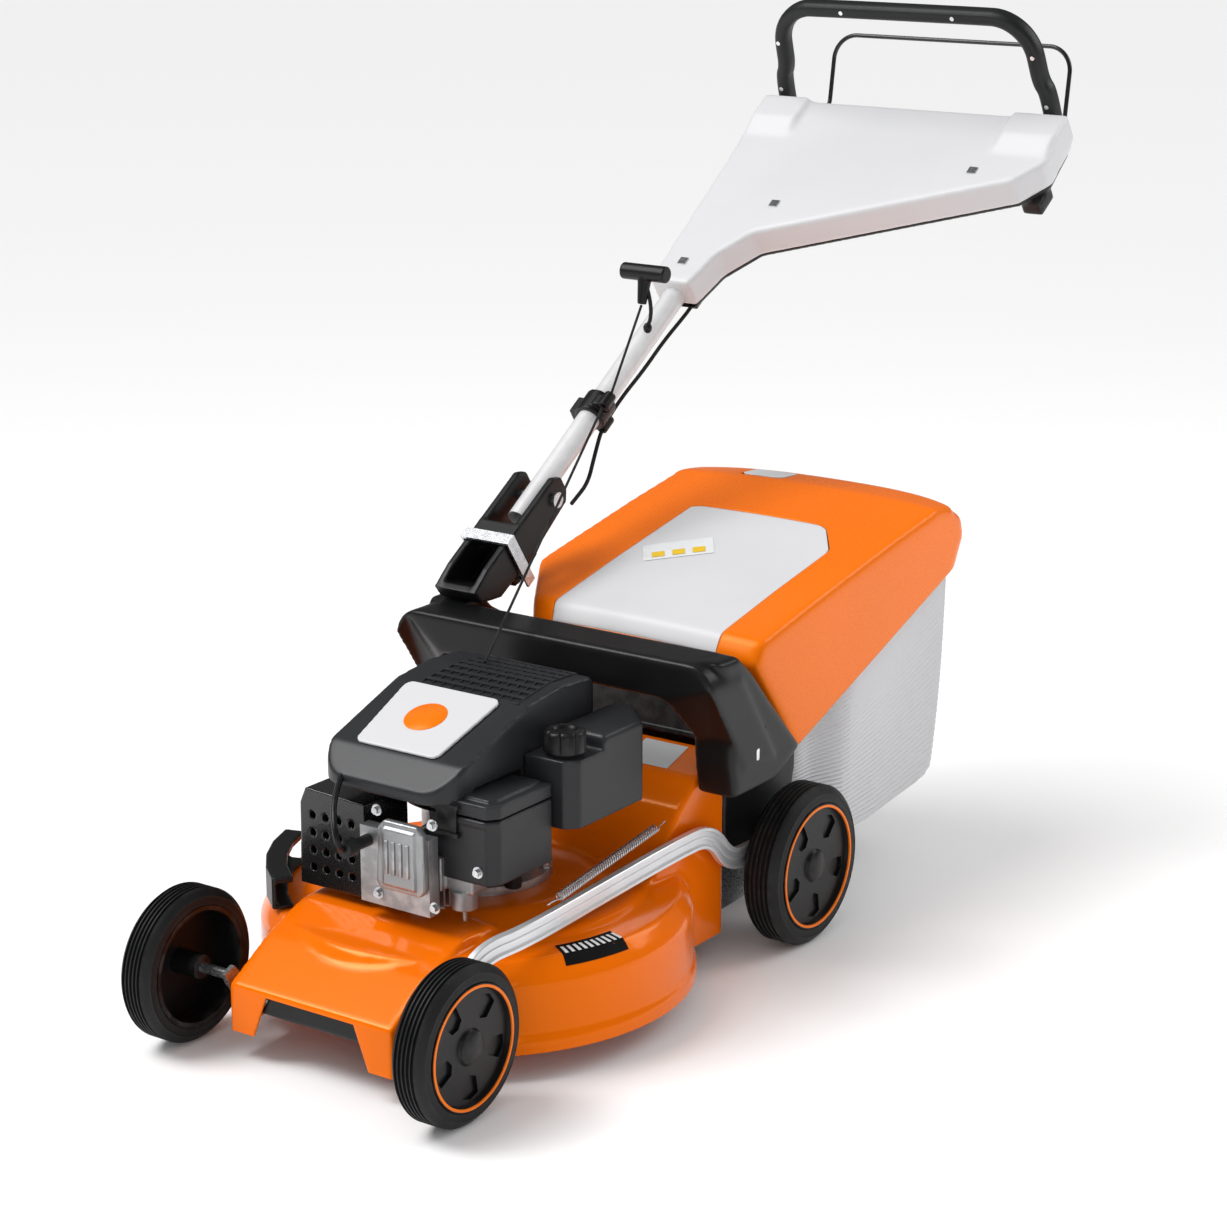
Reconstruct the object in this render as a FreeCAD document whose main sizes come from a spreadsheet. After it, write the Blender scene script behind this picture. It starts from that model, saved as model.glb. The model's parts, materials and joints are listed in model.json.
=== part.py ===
import FreeCAD, Part
import math
import os
from types import SimpleNamespace

import Sketcher

# Rotary lawn mower with a single-tube handlebar and a grass catcher.
# Millimetres. +Z is up, the mower's front is -Y and its left side is +X.
# The origin is on the ground, straight below the blade shaft.

doc = FreeCAD.newDocument("LawnMower")
sheet = doc.addObject("Spreadsheet::Sheet", "Sizes")

driving = {
    # deck
    "deck_radius": 253, "deck_wall": 3, "rim_height": 32, "rim_step": 15, "rim_flare": 4,
    "skirt_top": 116, "shoulder_rise": 20, "deck_top": 155, "seat_radius": 128,
    "nose_reach": 303, "nose_half": 117, "nose_lip": 88, "nose_crest": 128, "leg_inner": 87,
    "tunnel_half": 172, "tunnel_rear": 262, "tunnel_top": 262, "mouth_floor": 116,
    # wheels and height adjustment
    "front_wheel_radius": 90, "front_wheel_width": 45.6, "front_track": 217.2,
    "rear_wheel_radius": 100, "rear_wheel_width": 50.7, "rear_track": 243.2,
    "front_axle_y": -289, "rear_axle_y": 364.6, "axle_radius": 6, "tyre_share": 0.78,
    "crank_radius": 36, "crank_angle": 50, "link_arm": 55, "link_angle": 70,
    "link_x": 186, "link_thick": 8, "link_depth": 26, "running_gap": 0.3,
    # engine
    "block_radius": 64, "block_top": 250, "cylinder_x": 20, "bore_radius": 30,
    "head_front": -196, "crank_bore": 12.5, "flywheel_radius": 84, "flywheel_z": 258,
    "shroud_left": 102, "shroud_right": 92, "shroud_floor": 298, "shroud_crest": 390, "shroud_wall": 5,
    "muffler_x": -75, "tank_x": 142, "tank_side": 172, "tank_floor": 250, "filter_x": 103,
    "filter_floor": 222,
    # cutting gear
    "blade_reach": 230, "blade_z": 48, "blade_thick": 4,
    # handle
    "pivot_y": 358, "pivot_z": 508, "handle_angle": 34, "handle_x": -180, "tube_radius": 15,
    "tube_wall": 1.5, "cover_start": 379, "cover_length": 375, "cover_wall": 3,
    "grip_half": 206, "grip_rise": 166, "grip_lean": 12, "grip_thick": 22, "grip_depth": 26,
    "bail_half": 184, "bail_radius": 3, "bail_reach": 125,
    # catcher
    "hood_half": 203, "hood_wall": 3, "bag_half": 171, "bag_rear_half": 192, "bag_wall": 2.5,
    "bag_floor": 74,
    # cords
    "rope_radius": 1.7, "cable_radius": 2.6,
}

for row, (word, number) in enumerate(driving.items(), 1):
    sheet.set(f"A{row}", word)
    sheet.set(f"B{row}", str(number))
    sheet.setAlias(f"B{row}", word)
doc.recompute()


class Size:
    """A number together with the sheet expression that it comes from."""

    def __init__(self, value, text):
        self.value = float(value)
        self.text = text

    def __add__(self, other):
        other = as_size(other)
        return Size(self.value + other.value, f"({self.text} + {other.text})")

    __radd__ = __add__

    def __neg__(self):
        return Size(-self.value, f"(0 - {self.text})")

    def __sub__(self, other):
        other = as_size(other)
        return Size(self.value - other.value, f"({self.text} - {other.text})")

    def __rsub__(self, other):
        return as_size(other) - self

    def __mul__(self, other):
        other = as_size(other)
        return Size(self.value * other.value, f"({self.text} * {other.text})")

    __rmul__ = __mul__

    def __truediv__(self, other):
        other = as_size(other)
        return Size(self.value / other.value, f"({self.text} / {other.text})")


def as_size(value):
    if isinstance(value, Size):
        return value
    if value < 0:
        return Size(value, f"(0 - {-value:.9g})")
    return Size(value, f"{value:.9g}")


def cosine(angle):
    angle = as_size(angle)
    return Size(math.cos(math.radians(angle.value)), f"cos({angle.text})")


def sine(angle):
    angle = as_size(angle)
    return Size(math.sin(math.radians(angle.value)), f"sin({angle.text})")


dim = SimpleNamespace(**{word: Size(number, f"Sizes.{word}") for word, number in driving.items()})
nodes = {}


def node(label, thing):
    """Names a finished sub-part, whose shape is written out at the end."""
    thing.Label = label
    nodes[label] = thing
    return thing


def bind(thing, name, size):
    thing.setExpression(name, as_size(size).text)


def put(thing, x=0, y=0, z=0, axis=(0, 0, 1), angle=0):
    turn = FreeCAD.Rotation(FreeCAD.Vector(*axis), as_size(angle).value)
    thing.Placement = FreeCAD.Placement(FreeCAD.Vector(0, 0, 0), turn)
    for letter, size in (("x", x), ("y", y), ("z", z)):
        bind(thing, f"Placement.Base.{letter}", size)
    if isinstance(angle, Size):
        bind(thing, "Placement.Rotation.Angle", angle)
    return thing


# Primitives

def box(name, across, along, up):
    """A block between two values on each axis."""
    thing = doc.addObject("Part::Box", name)
    for side, (low, high) in (("Length", across), ("Width", along), ("Height", up)):
        bind(thing, side, as_size(high) - low)
    return put(thing, across[0], along[0], up[0])


AXLES = {"X": ((0, 1, 0), 90), "Y": ((1, 0, 0), -90), "Z": ((0, 0, 1), 0)}


def rod(name, radius, length, x=0, y=0, z=0, along="Z"):
    thing = doc.addObject("Part::Cylinder", name)
    bind(thing, "Radius", radius)
    bind(thing, "Height", length)
    axis, angle = AXLES[along]
    return put(thing, x, y, z, axis, angle)


def cut(name, base, *tools):
    tool = tools[0] if len(tools) == 1 else fuse(name + "_tools", *tools)
    thing = doc.addObject("Part::Cut", name)
    thing.Base = base
    thing.Tool = tool
    return thing


def fuse(name, *pieces):
    thing = doc.addObject("Part::MultiFuse", name)
    thing.Shapes = list(pieces)
    return thing


def group(name, *pieces):
    thing = doc.addObject("Part::Compound", name)
    thing.Links = list(pieces)
    return thing


# Sketched bodies

PLANES = {"XY": "XY_Plane", "XZ": "XZ_Plane", "YZ": "YZ_Plane"}


def new_body(name):
    return doc.addObject("PartDesign::Body", name)


def sketch_on(body, name, plane, offset, loops):
    sketch = body.newObject("Sketcher::SketchObject", name)
    planes = [item for item in body.Origin.OriginFeatures if item.Role == PLANES[plane]]
    sketch.AttachmentSupport = [(planes[0], "")]
    sketch.MapMode = "FlatFace"
    bind(sketch, "AttachmentOffset.Base.z", offset)
    for loop in loops:
        if loop[0] == "circle":
            add_circle(sketch, *loop[1:])
        else:
            add_polygon(sketch, loop)
    return sketch


def constrain(sketch, kind, parts, size):
    number = sketch.addConstraint(Sketcher.Constraint(kind, *parts, size.value))
    bind(sketch, f"Constraints[{number}]", size)


def add_circle(sketch, across, up, radius):
    across, up, radius = as_size(across), as_size(up), as_size(radius)
    centre = FreeCAD.Vector(across.value, up.value, 0)
    edge = sketch.addGeometry(Part.Circle(centre, FreeCAD.Vector(0, 0, 1), radius.value))
    constrain(sketch, "Radius", (edge,), radius)
    constrain(sketch, "DistanceX", (edge, 3), across)
    constrain(sketch, "DistanceY", (edge, 3), up)


def add_polygon(sketch, points):
    corners = [(as_size(across), as_size(up)) for across, up in points]
    first = sketch.GeometryCount
    for place, (across, up) in enumerate(corners):
        after = corners[(place + 1) % len(corners)]
        start = FreeCAD.Vector(across.value, up.value, 0)
        stop = FreeCAD.Vector(after[0].value, after[1].value, 0)
        sketch.addGeometry(Part.LineSegment(start, stop))
    for place in range(len(corners)):
        after = first + (place + 1) % len(corners)
        sketch.addConstraint(Sketcher.Constraint("Coincident", first + place, 2, after, 1))
    for place, (across, up) in enumerate(corners):
        constrain(sketch, "DistanceX", (first + place, 1), across)
        constrain(sketch, "DistanceY", (first + place, 1), up)


def pad(body, name, plane, low, high, *loops):
    """Adds the loops' area between two heights along the plane's world axis."""
    start = -as_size(high) if plane == "XZ" else low
    feature = body.newObject("PartDesign::Pad", name)
    feature.Profile = sketch_on(body, name + "_sketch", plane, start, loops)
    bind(feature, "Length", as_size(high) - low)
    return feature


def pocket(body, name, plane, low, high, *loops):
    """Removes the loops' area between two heights along the plane's world axis."""
    start = -as_size(low) if plane == "XZ" else high
    feature = body.newObject("PartDesign::Pocket", name)
    feature.Profile = sketch_on(body, name + "_sketch", plane, start, loops)
    bind(feature, "Length", as_size(high) - low)
    return feature


def turned(body, name, kind, points):
    """Adds (Revolution) or removes (Groove) a profile turned about the body's Z axis."""
    feature = body.newObject("PartDesign::" + kind, name)
    sketch = sketch_on(body, name + "_sketch", "XZ", 0, [points])
    feature.Profile = sketch
    feature.ReferenceAxis = (sketch, ["V_Axis"])
    feature.Angle = 360
    return feature


def round_edges(body, name, radius, chosen):
    """Rounds the edges of the body's tip for which chosen(edge) is true."""
    doc.recompute()
    tip = body.Tip
    edges = [f"Edge{number}" for number, edge in enumerate(tip.Shape.Edges, 1) if chosen(edge)]
    feature = body.newObject("PartDesign::Fillet", name)
    feature.Base = (tip, edges)
    bind(feature, "Radius", radius)
    return feature


def runs_along(edge, axis):
    if edge.Curve.TypeId != "Part::GeomLine":
        return False
    direction = edge.Curve.Direction
    return abs(abs((direction.x, direction.y, direction.z)["XYZ".index(axis)]) - 1) < 1e-6


# Bent rods and cords

def path_wire(points, radii):
    """Straight runs joined by tangent arcs, one radius for each inner point."""
    points = [FreeCAD.Vector(*point) for point in points]
    edges = []
    start = points[0]
    for before, corner, after, radius in zip(points, points[1:], points[2:], radii):
        back = (before - corner).normalize()
        ahead = (after - corner).normalize()
        half = back.getAngle(ahead) / 2
        reach = radius / math.tan(half)
        middle = (back + ahead).normalize() * (radius / math.sin(half) - radius)
        leave = corner + back * reach
        join = corner + ahead * reach
        if (leave - start).Length > 0.01:
            edges.append(Part.LineSegment(start, leave).toShape())
        edges.append(Part.Arc(leave, corner + middle, join).toShape())
        start = join
    edges.append(Part.LineSegment(start, points[-1]).toShape())
    return Part.Wire(edges)


def largest_radii(points):
    """The widest arc that each pair of runs leaves room for."""
    points = [FreeCAD.Vector(*point) for point in points]
    radii = []
    for before, corner, after in zip(points, points[1:], points[2:]):
        turn = math.pi - (before - corner).getAngle(after - corner)
        shorter = min((before - corner).Length, (after - corner).Length)
        radii.append(0.45 * shorter / math.tan(turn / 2))
    return radii


def bent_rod(name, points, section, radii):
    values = [[as_size(number).value for number in point] for point in points]
    wire = path_wire(values, [as_size(radius).value for radius in radii])
    start = FreeCAD.Vector(*values[0])
    ahead = FreeCAD.Vector(*values[1]) - start
    circle = Part.makeCircle(as_size(section).value, start, ahead)
    shape = wire.makePipeShell([Part.Wire([circle])], True, False)
    thing = doc.addObject("Part::Feature", name)
    thing.Shape = shape
    expected = math.pi * as_size(section).value ** 2 * wire.Length
    if abs(shape.Volume - expected) > 0.01 * expected:
        raise ValueError(f"{name}: the sweep's volume is wrong")
    return thing


# Deck

def deck_profile(inset):
    radius = dim.deck_radius - inset
    low = dim.rim_height - as_size(inset) / 3
    return [
        (0, low), (radius + dim.rim_flare, low),
        (radius + dim.rim_flare, dim.rim_height + dim.rim_step),
        (radius, dim.rim_height + dim.rim_step + 3),
        (radius, dim.skirt_top - as_size(inset) / 2),
        (radius - 14, dim.skirt_top + dim.shoulder_rise - inset),
        (dim.seat_radius + 56, dim.deck_top - 12 - inset), (dim.seat_radius, dim.deck_top - inset),
        (0, dim.deck_top - inset),
    ]


def tunnel_profile(inset):
    rear = dim.tunnel_rear - inset
    top = dim.tunnel_top - inset
    low = dim.rim_height - as_size(inset) / 3
    return [
        (60, low), (rear, low), (rear, top), (205, top - 18), (168, top - 46), (134, top - 84),
        (116, dim.deck_top - 8 - inset), (60, dim.deck_top - 20),
    ]


def front_pivot():
    return (dim.front_axle_y + dim.crank_radius * cosine(dim.crank_angle),
            dim.front_wheel_radius - dim.crank_radius * sine(dim.crank_angle))


def rear_pivot():
    return (dim.rear_axle_y + dim.crank_radius * cosine(dim.crank_angle),
            dim.rear_wheel_radius - dim.crank_radius * sine(dim.crank_angle))


def make_deck():
    body = new_body("deck_body")
    turned(body, "pan", "Revolution", deck_profile(0))
    front = -dim.nose_reach
    pad(body, "nose", "YZ", -dim.nose_half, dim.nose_half,
        [(front, dim.rim_height), (front, dim.nose_lip), (-236, dim.nose_crest), (-176, dim.deck_top - 4),
         (-120, dim.deck_top - 4), (-120, dim.rim_height)])
    pad(body, "tunnel", "YZ", -dim.tunnel_half, dim.tunnel_half, tunnel_profile(0))
    round_edges(body, "tunnel_corners", 12, lambda edge: on_tunnel_corner(edge))
    turned(body, "pan_inside", "Groove", deck_profile(dim.deck_wall))
    side = dim.nose_half - dim.deck_wall
    pocket(body, "nose_inside", "YZ", -side, side,
           [(front + dim.deck_wall, dim.rim_height - 1), (front + dim.deck_wall, dim.nose_lip - 4),
            (-258, dim.nose_crest - 18), (-258, dim.rim_height - 1)])
    pocket(body, "nose_mouth", "XZ", front - 1, front + dim.deck_wall + 1,
           [(-dim.leg_inner, dim.rim_height - 1), (dim.leg_inner, dim.rim_height - 1),
            (dim.leg_inner - 25, dim.nose_lip - 4), (25 - dim.leg_inner, dim.nose_lip - 4)])
    wall_side = dim.tunnel_half - dim.deck_wall
    pocket(body, "tunnel_inside", "YZ", -wall_side, wall_side, tunnel_profile(dim.deck_wall))
    pocket(body, "discharge_mouth", "XZ", dim.tunnel_rear - dim.deck_wall - 1, dim.tunnel_rear + 1,
           [(8 - dim.tunnel_half, dim.mouth_floor), (dim.tunnel_half - 8, dim.mouth_floor),
            (dim.tunnel_half - 8, dim.tunnel_top - 14), (8 - dim.tunnel_half, dim.tunnel_top - 14)])
    pocket(body, "shaft_hole", "XY", dim.deck_top - 30, dim.deck_top + 1,
           ("circle", 0, 0, dim.crank_bore + 12))
    pivot_y, pivot_z = front_pivot()
    pocket(body, "axle_holes", "YZ", -dim.nose_half - 1, dim.nose_half + 1,
           ("circle", pivot_y, pivot_z, dim.axle_radius + dim.running_gap))
    node("deck", body)

    lip = dim.nose_lip - 5
    bar = new_body("nose_bar_body")
    pad(bar, "bar", "XZ", front + dim.deck_wall + 1.2, front + 26,
        [(10 - dim.leg_inner, lip - 24), (dim.leg_inner - 10, lip - 24), (dim.leg_inner - 26, lip),
         (26 - dim.leg_inner, lip)])
    round_edges(bar, "bar_rounding", 5, lambda edge: runs_along(edge, "X")
                and edge.BoundBox.ZMax < lip.value - 20)
    node("nose_bar", bar)


def on_tunnel_corner(edge):
    centre = edge.CenterOfMass
    at_side = abs(abs(centre.x) - dim.tunnel_half.value) < 0.01
    return at_side and centre.z > dim.deck_top.value + 6 and centre.y < dim.tunnel_rear.value - 1


def make_brackets():
    pivot_y, pivot_z = front_pivot()
    pieces = []
    for side in (-1, 1):
        inner, outer = sorted((side * (dim.nose_half - 31), side * (dim.nose_half - 5)),
                              key=lambda size: size.value)
        block = box("front_block", (inner, outer), (pivot_y - 13, pivot_y + 7.2),
                    (pivot_z - 13, pivot_z + 13))
        bore = rod("front_bore", dim.axle_radius + 0.05, outer - inner + 4, inner - 2, pivot_y, pivot_z,
                   "X")
        pieces.append(cut(f"front_bearing_{side + 1}", block, bore))
    pivot_y, pivot_z = rear_pivot()
    for side in (-1, 1):
        inner, outer = sorted((side * (dim.tunnel_half - 26), side * (dim.tunnel_half - 20)),
                              key=lambda size: size.value)
        plate = new_body(f"rear_plate_{side + 1}")
        pad(plate, "plate", "YZ", inner, outer,
            [(dim.tunnel_rear + 0.2, 46), (pivot_y + 16, 52), (pivot_y + 16, 92),
             (dim.tunnel_rear + 40, 104), (dim.tunnel_rear + 0.2, 108)])
        pocket(plate, "bore", "YZ", inner - 1, outer + 1,
               ("circle", pivot_y, pivot_z, dim.axle_radius + 0.05))
        pieces.append(plate)
    node("axle_brackets", group("axle_bracket_set", *pieces))


def make_casing():
    body = new_body("casing_body")
    left_leg = [(158, 405), (178, 378), (188, 330), (190, 270), (198, 230), (290, 230), (345, 259),
                (272, 336), (236, 376),
                (204, 404)]
    right_leg = [(196, 250), (225, 234), (330, 262), (312, 360), (262, 388), (246, 405), (204, 405),
                 (192, 384)]
    inner = dim.tunnel_half + 3
    outer = dim.tunnel_half + 58
    pad(body, "left_leg", "YZ", inner, outer, left_leg)
    pad(body, "right_leg", "YZ", -outer, -inner, right_leg)
    pad(body, "carry_bar", "YZ", -inner - 2, inner + 2,
        [(140, 366), (150, 396), (178, 403), (204, 396), (212, 378), (196, 362), (152, 360)])
    round_edges(body, "casing_rounding", 7, is_casing_outer_edge)
    hollow = 5
    pocket(body, "left_hollow", "YZ", inner - 1, outer - hollow,
           [(196, 340), (197, 272), (204, 238), (288, 238), (324, 262), (262, 340)])
    pocket(body, "right_hollow", "YZ", hollow - outer, 1 - inner,
           [(203, 340), (203, 258), (225, 246), (312, 270), (300, 340)])
    node("rear_casing", body)


def is_casing_outer_edge(edge):
    centre = edge.CenterOfMass
    return abs(abs(centre.x) - dim.tunnel_half.value - 58) < 0.01


def make_side_shield():
    body = new_body("shield_body")
    ring = dim.deck_radius
    outer = []
    inner = []
    for angle in (196, 206, 216, 226, 236):
        outer.append((cosine(angle) * (ring - 7), sine(angle) * (ring - 7)))
        inner.append((cosine(angle) * (ring - 12), sine(angle) * (ring - 12)))
    foot = dim.skirt_top + dim.shoulder_rise + 2.4
    pad(body, "apron", "XY", foot, dim.deck_top + 22, outer + inner[::-1])
    ledge = [(cosine(angle) * (ring - 32), sine(angle) * (ring - 32))
             for angle in (236, 226, 216, 206, 196)]
    pad(body, "foot", "XY", foot, foot + 4, inner + ledge)
    pad(body, "ledge", "XY", dim.deck_top + 14, dim.deck_top + 22, inner + ledge)
    node("side_shield", body)


# Wheels and height adjustment

def make_wheel(label, radius, width, track, axle_y, side):
    """The wheel is turned about Z with its outer face up, then laid on the axle."""
    rim = radius * dim.tyre_share
    tyre = new_body(f"{label}_tyre_body")
    tread = [(rim, 0), (radius - 7, 0), (radius - 2.4, 3), (radius - 0.6, 7)]
    grooves = 4
    pitch = (width - 14) / grooves
    for place in range(grooves):
        low = 7 + pitch * (place + 0.5) - 1.4
        tread += [(radius, low), (radius - 2.4, low + 0.6), (radius - 2.4, low + 2.2), (radius, low + 2.8)]
    tread += [(radius - 0.6, width - 7), (radius - 2.4, width - 3), (radius - 7, width), (rim, width)]
    turned(tyre, "tread", "Revolution", tread)
    hub = new_body(f"{label}_hub_body")
    bore = dim.axle_radius + 0.05
    turned(hub, "disc", "Revolution",
           [(bore, -2), (14, -2), (15, width - 12), (rim - 6, width - 12), (rim - 5, 0), (rim, 0),
            (rim, width + 0.8), (rim - 4, width + 0.8), (rim - 6, width - 5), (21, width - 5),
            (18, width - 1), (bore, width - 1)])
    doc.recompute()
    slots = pocket(hub, "slot", "XY", width - 9, width + 1,
                   [(rim * 0.52, -10), (rim * 0.8, -13), (rim * 0.86, 0), (rim * 0.8, 13), (rim * 0.52, 10),
                    (rim * 0.46, 0)])
    ring = hub.newObject("PartDesign::PolarPattern", "slots")
    ring.Originals = [slots]
    ring.Axis = (slots.Profile[0], ["N_Axis"])
    ring.Angle = 360
    ring.Occurrences = 5
    hub.Tip = ring
    start = track - width
    for thing, name in ((tyre, "tyre"), (hub, "wheel")):
        put(thing, start * side, axle_y, radius, (0, 1, 0), 90 * side)
        node(f"{label}_{name}", thing)


def make_axle(label, pivot, wheel_radius, axle_y, crank_x, track, inner_x):
    """A shaft across the mower, with a crank plate and a wheel spindle at each end."""
    pivot_y, pivot_z = pivot
    arm_y = dim.link_arm * cosine(dim.link_angle)
    arm_z = dim.link_arm * sine(dim.link_angle)
    pieces = [rod(f"{label}_shaft", dim.axle_radius, crank_x * 2, -crank_x, pivot_y, pivot_z, "X")]
    for side in (-1, 1):
        low = crank_x if side > 0 else -crank_x - 6
        plate = new_body(f"{label}_crank_{side + 1}")
        spindle = (axle_y - pivot_y, wheel_radius - pivot_z)
        pad(plate, "crank", "YZ", 0, 6, crank_outline(spindle, (arm_y, arm_z), side))
        put(plate, low, pivot_y, pivot_z)
        reach = track - crank_x - 4
        start = crank_x + 3 if side > 0 else -crank_x - 3 - reach
        stub = rod(f"{label}_spindle_{side + 1}", dim.axle_radius, reach, start, axle_y, wheel_radius, "X")
        pieces += [plate, stub]
    pin = rod(f"{label}_link_pin", 4, inner_x + dim.link_thick / 2 - crank_x, crank_x + 2, pivot_y + arm_y,
              pivot_z + arm_z, "X")
    pieces.append(pin)
    return node(label, fuse(f"{label}_set", *pieces))


def crank_outline(spindle, arm, side):
    """A flat plate around the pivot and the spindle; the left one also reaches the link pin."""
    (spin_y, spin_z), (arm_y, arm_z) = spindle, arm
    if side < 0:
        return [(spin_y - 10, spin_z + 4), (spin_y - 4, spin_z - 10), (-4, -12), (10, -8), (10, 4),
                (spin_y + 6, spin_z + 10)]
    return [(spin_y - 10, spin_z + 2), (spin_y - 4, spin_z - 10), (-4, -12), (10, -8),
            (arm_y + 9, arm_z - 4),
            (arm_y + 6, arm_z + 8), (arm_y - 7, arm_z + 8), (-6, 14), (spin_y + 4, spin_z + 10)]


def link_path():
    """The link's centre line: from the front pin, over the deck and down to the rear pin."""
    front_y, front_z = front_pivot()
    rear_y, rear_z = rear_pivot()
    arm_y = dim.link_arm * cosine(dim.link_angle)
    arm_z = dim.link_arm * sine(dim.link_angle)
    near = dim.link_x - 26
    return [
        (near, front_y + arm_y, front_z + arm_z), (near, -204, 154), (dim.link_x, -152, 165),
        (dim.link_x, 150, 178), (dim.link_x, 214, 174), (dim.link_x, 252, 128),
        (dim.link_x, rear_y + arm_y, rear_z + arm_z),
    ]


def make_link():
    points = [[as_size(number).value for number in point] for point in link_path()]
    depth = dim.link_depth.value / 2
    half = dim.link_thick.value / 2
    upper = []
    lower = []
    for place, (x, y, z) in enumerate(points):
        before = points[max(place - 1, 0)]
        after = points[min(place + 1, len(points) - 1)]
        run = FreeCAD.Vector(0, after[1] - before[1], after[2] - before[2]).normalize()
        shift = FreeCAD.Vector(0, -run.z, run.y) * depth
        upper.append(FreeCAD.Vector(0, y, z) + shift)
        lower.append(FreeCAD.Vector(0, y, z) - shift)
    blocks = []
    for place in range(len(points) - 1):
        corners = []
        for stop in (place, place + 1):
            x = points[stop][0]
            ring = [upper[stop] + FreeCAD.Vector(x - half, 0, 0),
                    upper[stop] + FreeCAD.Vector(x + half, 0, 0),
                    lower[stop] + FreeCAD.Vector(x + half, 0, 0),
                    lower[stop] + FreeCAD.Vector(x - half, 0, 0)]
            corners.append(Part.makePolygon(ring + [ring[0]]))
        blocks.append(Part.makeLoft(corners, True, True))
    shape = blocks[0].multiFuse(blocks[1:])
    for end in (0, -1):
        x, y, z = points[end]
        boss = Part.makeCylinder(depth, dim.link_thick.value, FreeCAD.Vector(x - half, y, z),
                                 FreeCAD.Vector(1, 0, 0))
        shape = shape.fuse(boss)
    for end in (0, -1):
        x, y, z = points[end]
        eye = Part.makeCylinder(4.05, dim.link_thick.value + 2, FreeCAD.Vector(x - half - 1, y, z),
                                FreeCAD.Vector(1, 0, 0))
        shape = shape.cut(eye)
    pointer = Part.makeBox(3, 26, 7, FreeCAD.Vector(dim.link_x.value + half - 1, -118, 148))
    lug = Part.makeBox(6, 10, 14, FreeCAD.Vector(dim.link_x.value - 3, -126, 176))
    shape = shape.fuse([pointer, lug]).removeSplitter()
    thing = doc.addObject("Part::Feature", "link_shape")
    thing.Shape = shape
    node("height_link", thing)


def make_height_spring():
    start = FreeCAD.Vector(dim.link_x.value - 2, -115.5, 187)
    stop = FreeCAD.Vector(dim.tunnel_half.value + 6, 132, 216)
    length = (stop - start).Length
    coil = Part.makeCylinder(4.5, length - 50, start + (stop - start).normalize() * 20, stop - start)
    rods = Part.makeCylinder(1.2, length, start, stop - start)
    thing = doc.addObject("Part::Feature", "spring_shape")
    thing.Shape = coil.fuse(rods).removeSplitter()
    node("height_spring", thing)


# Engine

def make_block():
    seat = dim.deck_top
    flange = rod("block_flange", dim.block_radius + 24, 10, 0, 0, seat)
    body = rod("block_body", dim.block_radius, dim.block_top - seat, 0, 0, seat)
    neck = rod("block_neck", dim.bore_radius + 8, 96, dim.cylinder_x, -96, 207, "Y")
    inner = rod("block_inner", dim.block_radius - 6, dim.block_top - seat - 12, 0, 0, seat + 6)
    shaft = rod("block_shaft_hole", dim.crank_bore + 8, 200, 0, 0, seat - 50)
    bore = rod("block_bore", dim.bore_radius, 120, dim.cylinder_x, -120, 207, "Y")
    node("crankcase", cut("block", fuse("block_solid", flange, body, neck), inner, shaft, bore))

    rings = []
    for name, low in (("lower", seat + 0.5), ("upper", dim.block_top - 7)):
        ring = rod(f"{name}_bearing_ring", dim.crank_bore + 7.9, 6, 0, 0, low)
        hole = rod(f"{name}_bearing_hole", dim.crank_bore + 0.05, 12, 0, 0, low - 3)
        rings.append(cut(f"{name}_bearing", ring, hole))
    node("crank_bearings", group("bearing_set", *rings))

    fins = []
    for place in range(4):
        y = -134 - 10 * place
        fins.append(box(f"fin_{place}", (dim.cylinder_x - 44, dim.cylinder_x + 44), (y, y + 3), (166, 248)))
    barrel = rod("barrel", dim.bore_radius + 6, 82, dim.cylinder_x, -178, 207, "Y")
    head = box("head", (dim.cylinder_x - 40, dim.cylinder_x + 58), (-186, -170), (172, 262))
    bore = rod("barrel_bore", dim.bore_radius, 76, dim.cylinder_x, -172, 207, "Y")
    node("cylinder", cut("cylinder_block", fuse("cylinder_solid", barrel, head, *fins), bore))

    piston = rod("piston_solid", dim.bore_radius - 0.1, 42, dim.cylinder_x, -166, 207, "Y")
    recess = rod("piston_recess", dim.bore_radius - 6, 34, dim.cylinder_x, -158, 207, "Y")
    node("piston", cut("piston_cup", piston, recess))

    cover = new_body("valve_cover_body")
    pad(cover, "cover", "XZ", dim.head_front, -186,
        [(16, 197), (72, 197), (78, 205), (76, 270), (68, 278), (22, 278), (14, 270), (10, 205)])
    pad(cover, "panel", "XZ", dim.head_front - 4, dim.head_front,
        [(22, 204), (68, 204), (67, 271), (23, 271)])
    node("valve_cover", cover)

    plug_body = rod("plug_body", 7, 26, -8, -212, 246, "Y")
    plug_cap = rod("plug_cap", 10, 16, -8, -228, 246, "Y")
    node("spark_plug", fuse("plug", plug_body, plug_cap))


def make_muffler():
    can = new_body("muffler_body")
    low_x = dim.muffler_x - 40
    pad(can, "can", "XZ", -156, -96, [(low_x, 176), (low_x + 70, 176), (low_x + 74, 184), (low_x + 74, 258),
                                      (low_x, 262)])
    node("muffler", can)
    guard = new_body("guard_body")
    pad(guard, "outer", "XZ", -166, -88,
        [(low_x - 12, 164), (low_x + 82, 164), (low_x + 86, 176), (low_x + 84, 276), (low_x - 2, 280),
         (low_x - 10, 262)])
    pocket(guard, "inner", "XZ", -163, -87,
           [(low_x - 9, 167), (low_x + 80, 167), (low_x + 83, 178), (low_x + 81, 273), (low_x, 277),
            (low_x - 7, 262)])
    for line in range(4):
        loops = [("circle", low_x + 8 + 19 * place, 186 + 21 * line, 4.5) for place in range(4)]
        pocket(guard, f"holes_{line}", "XZ", -167, -162, *loops)
    node("muffler_guard", guard)


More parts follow.
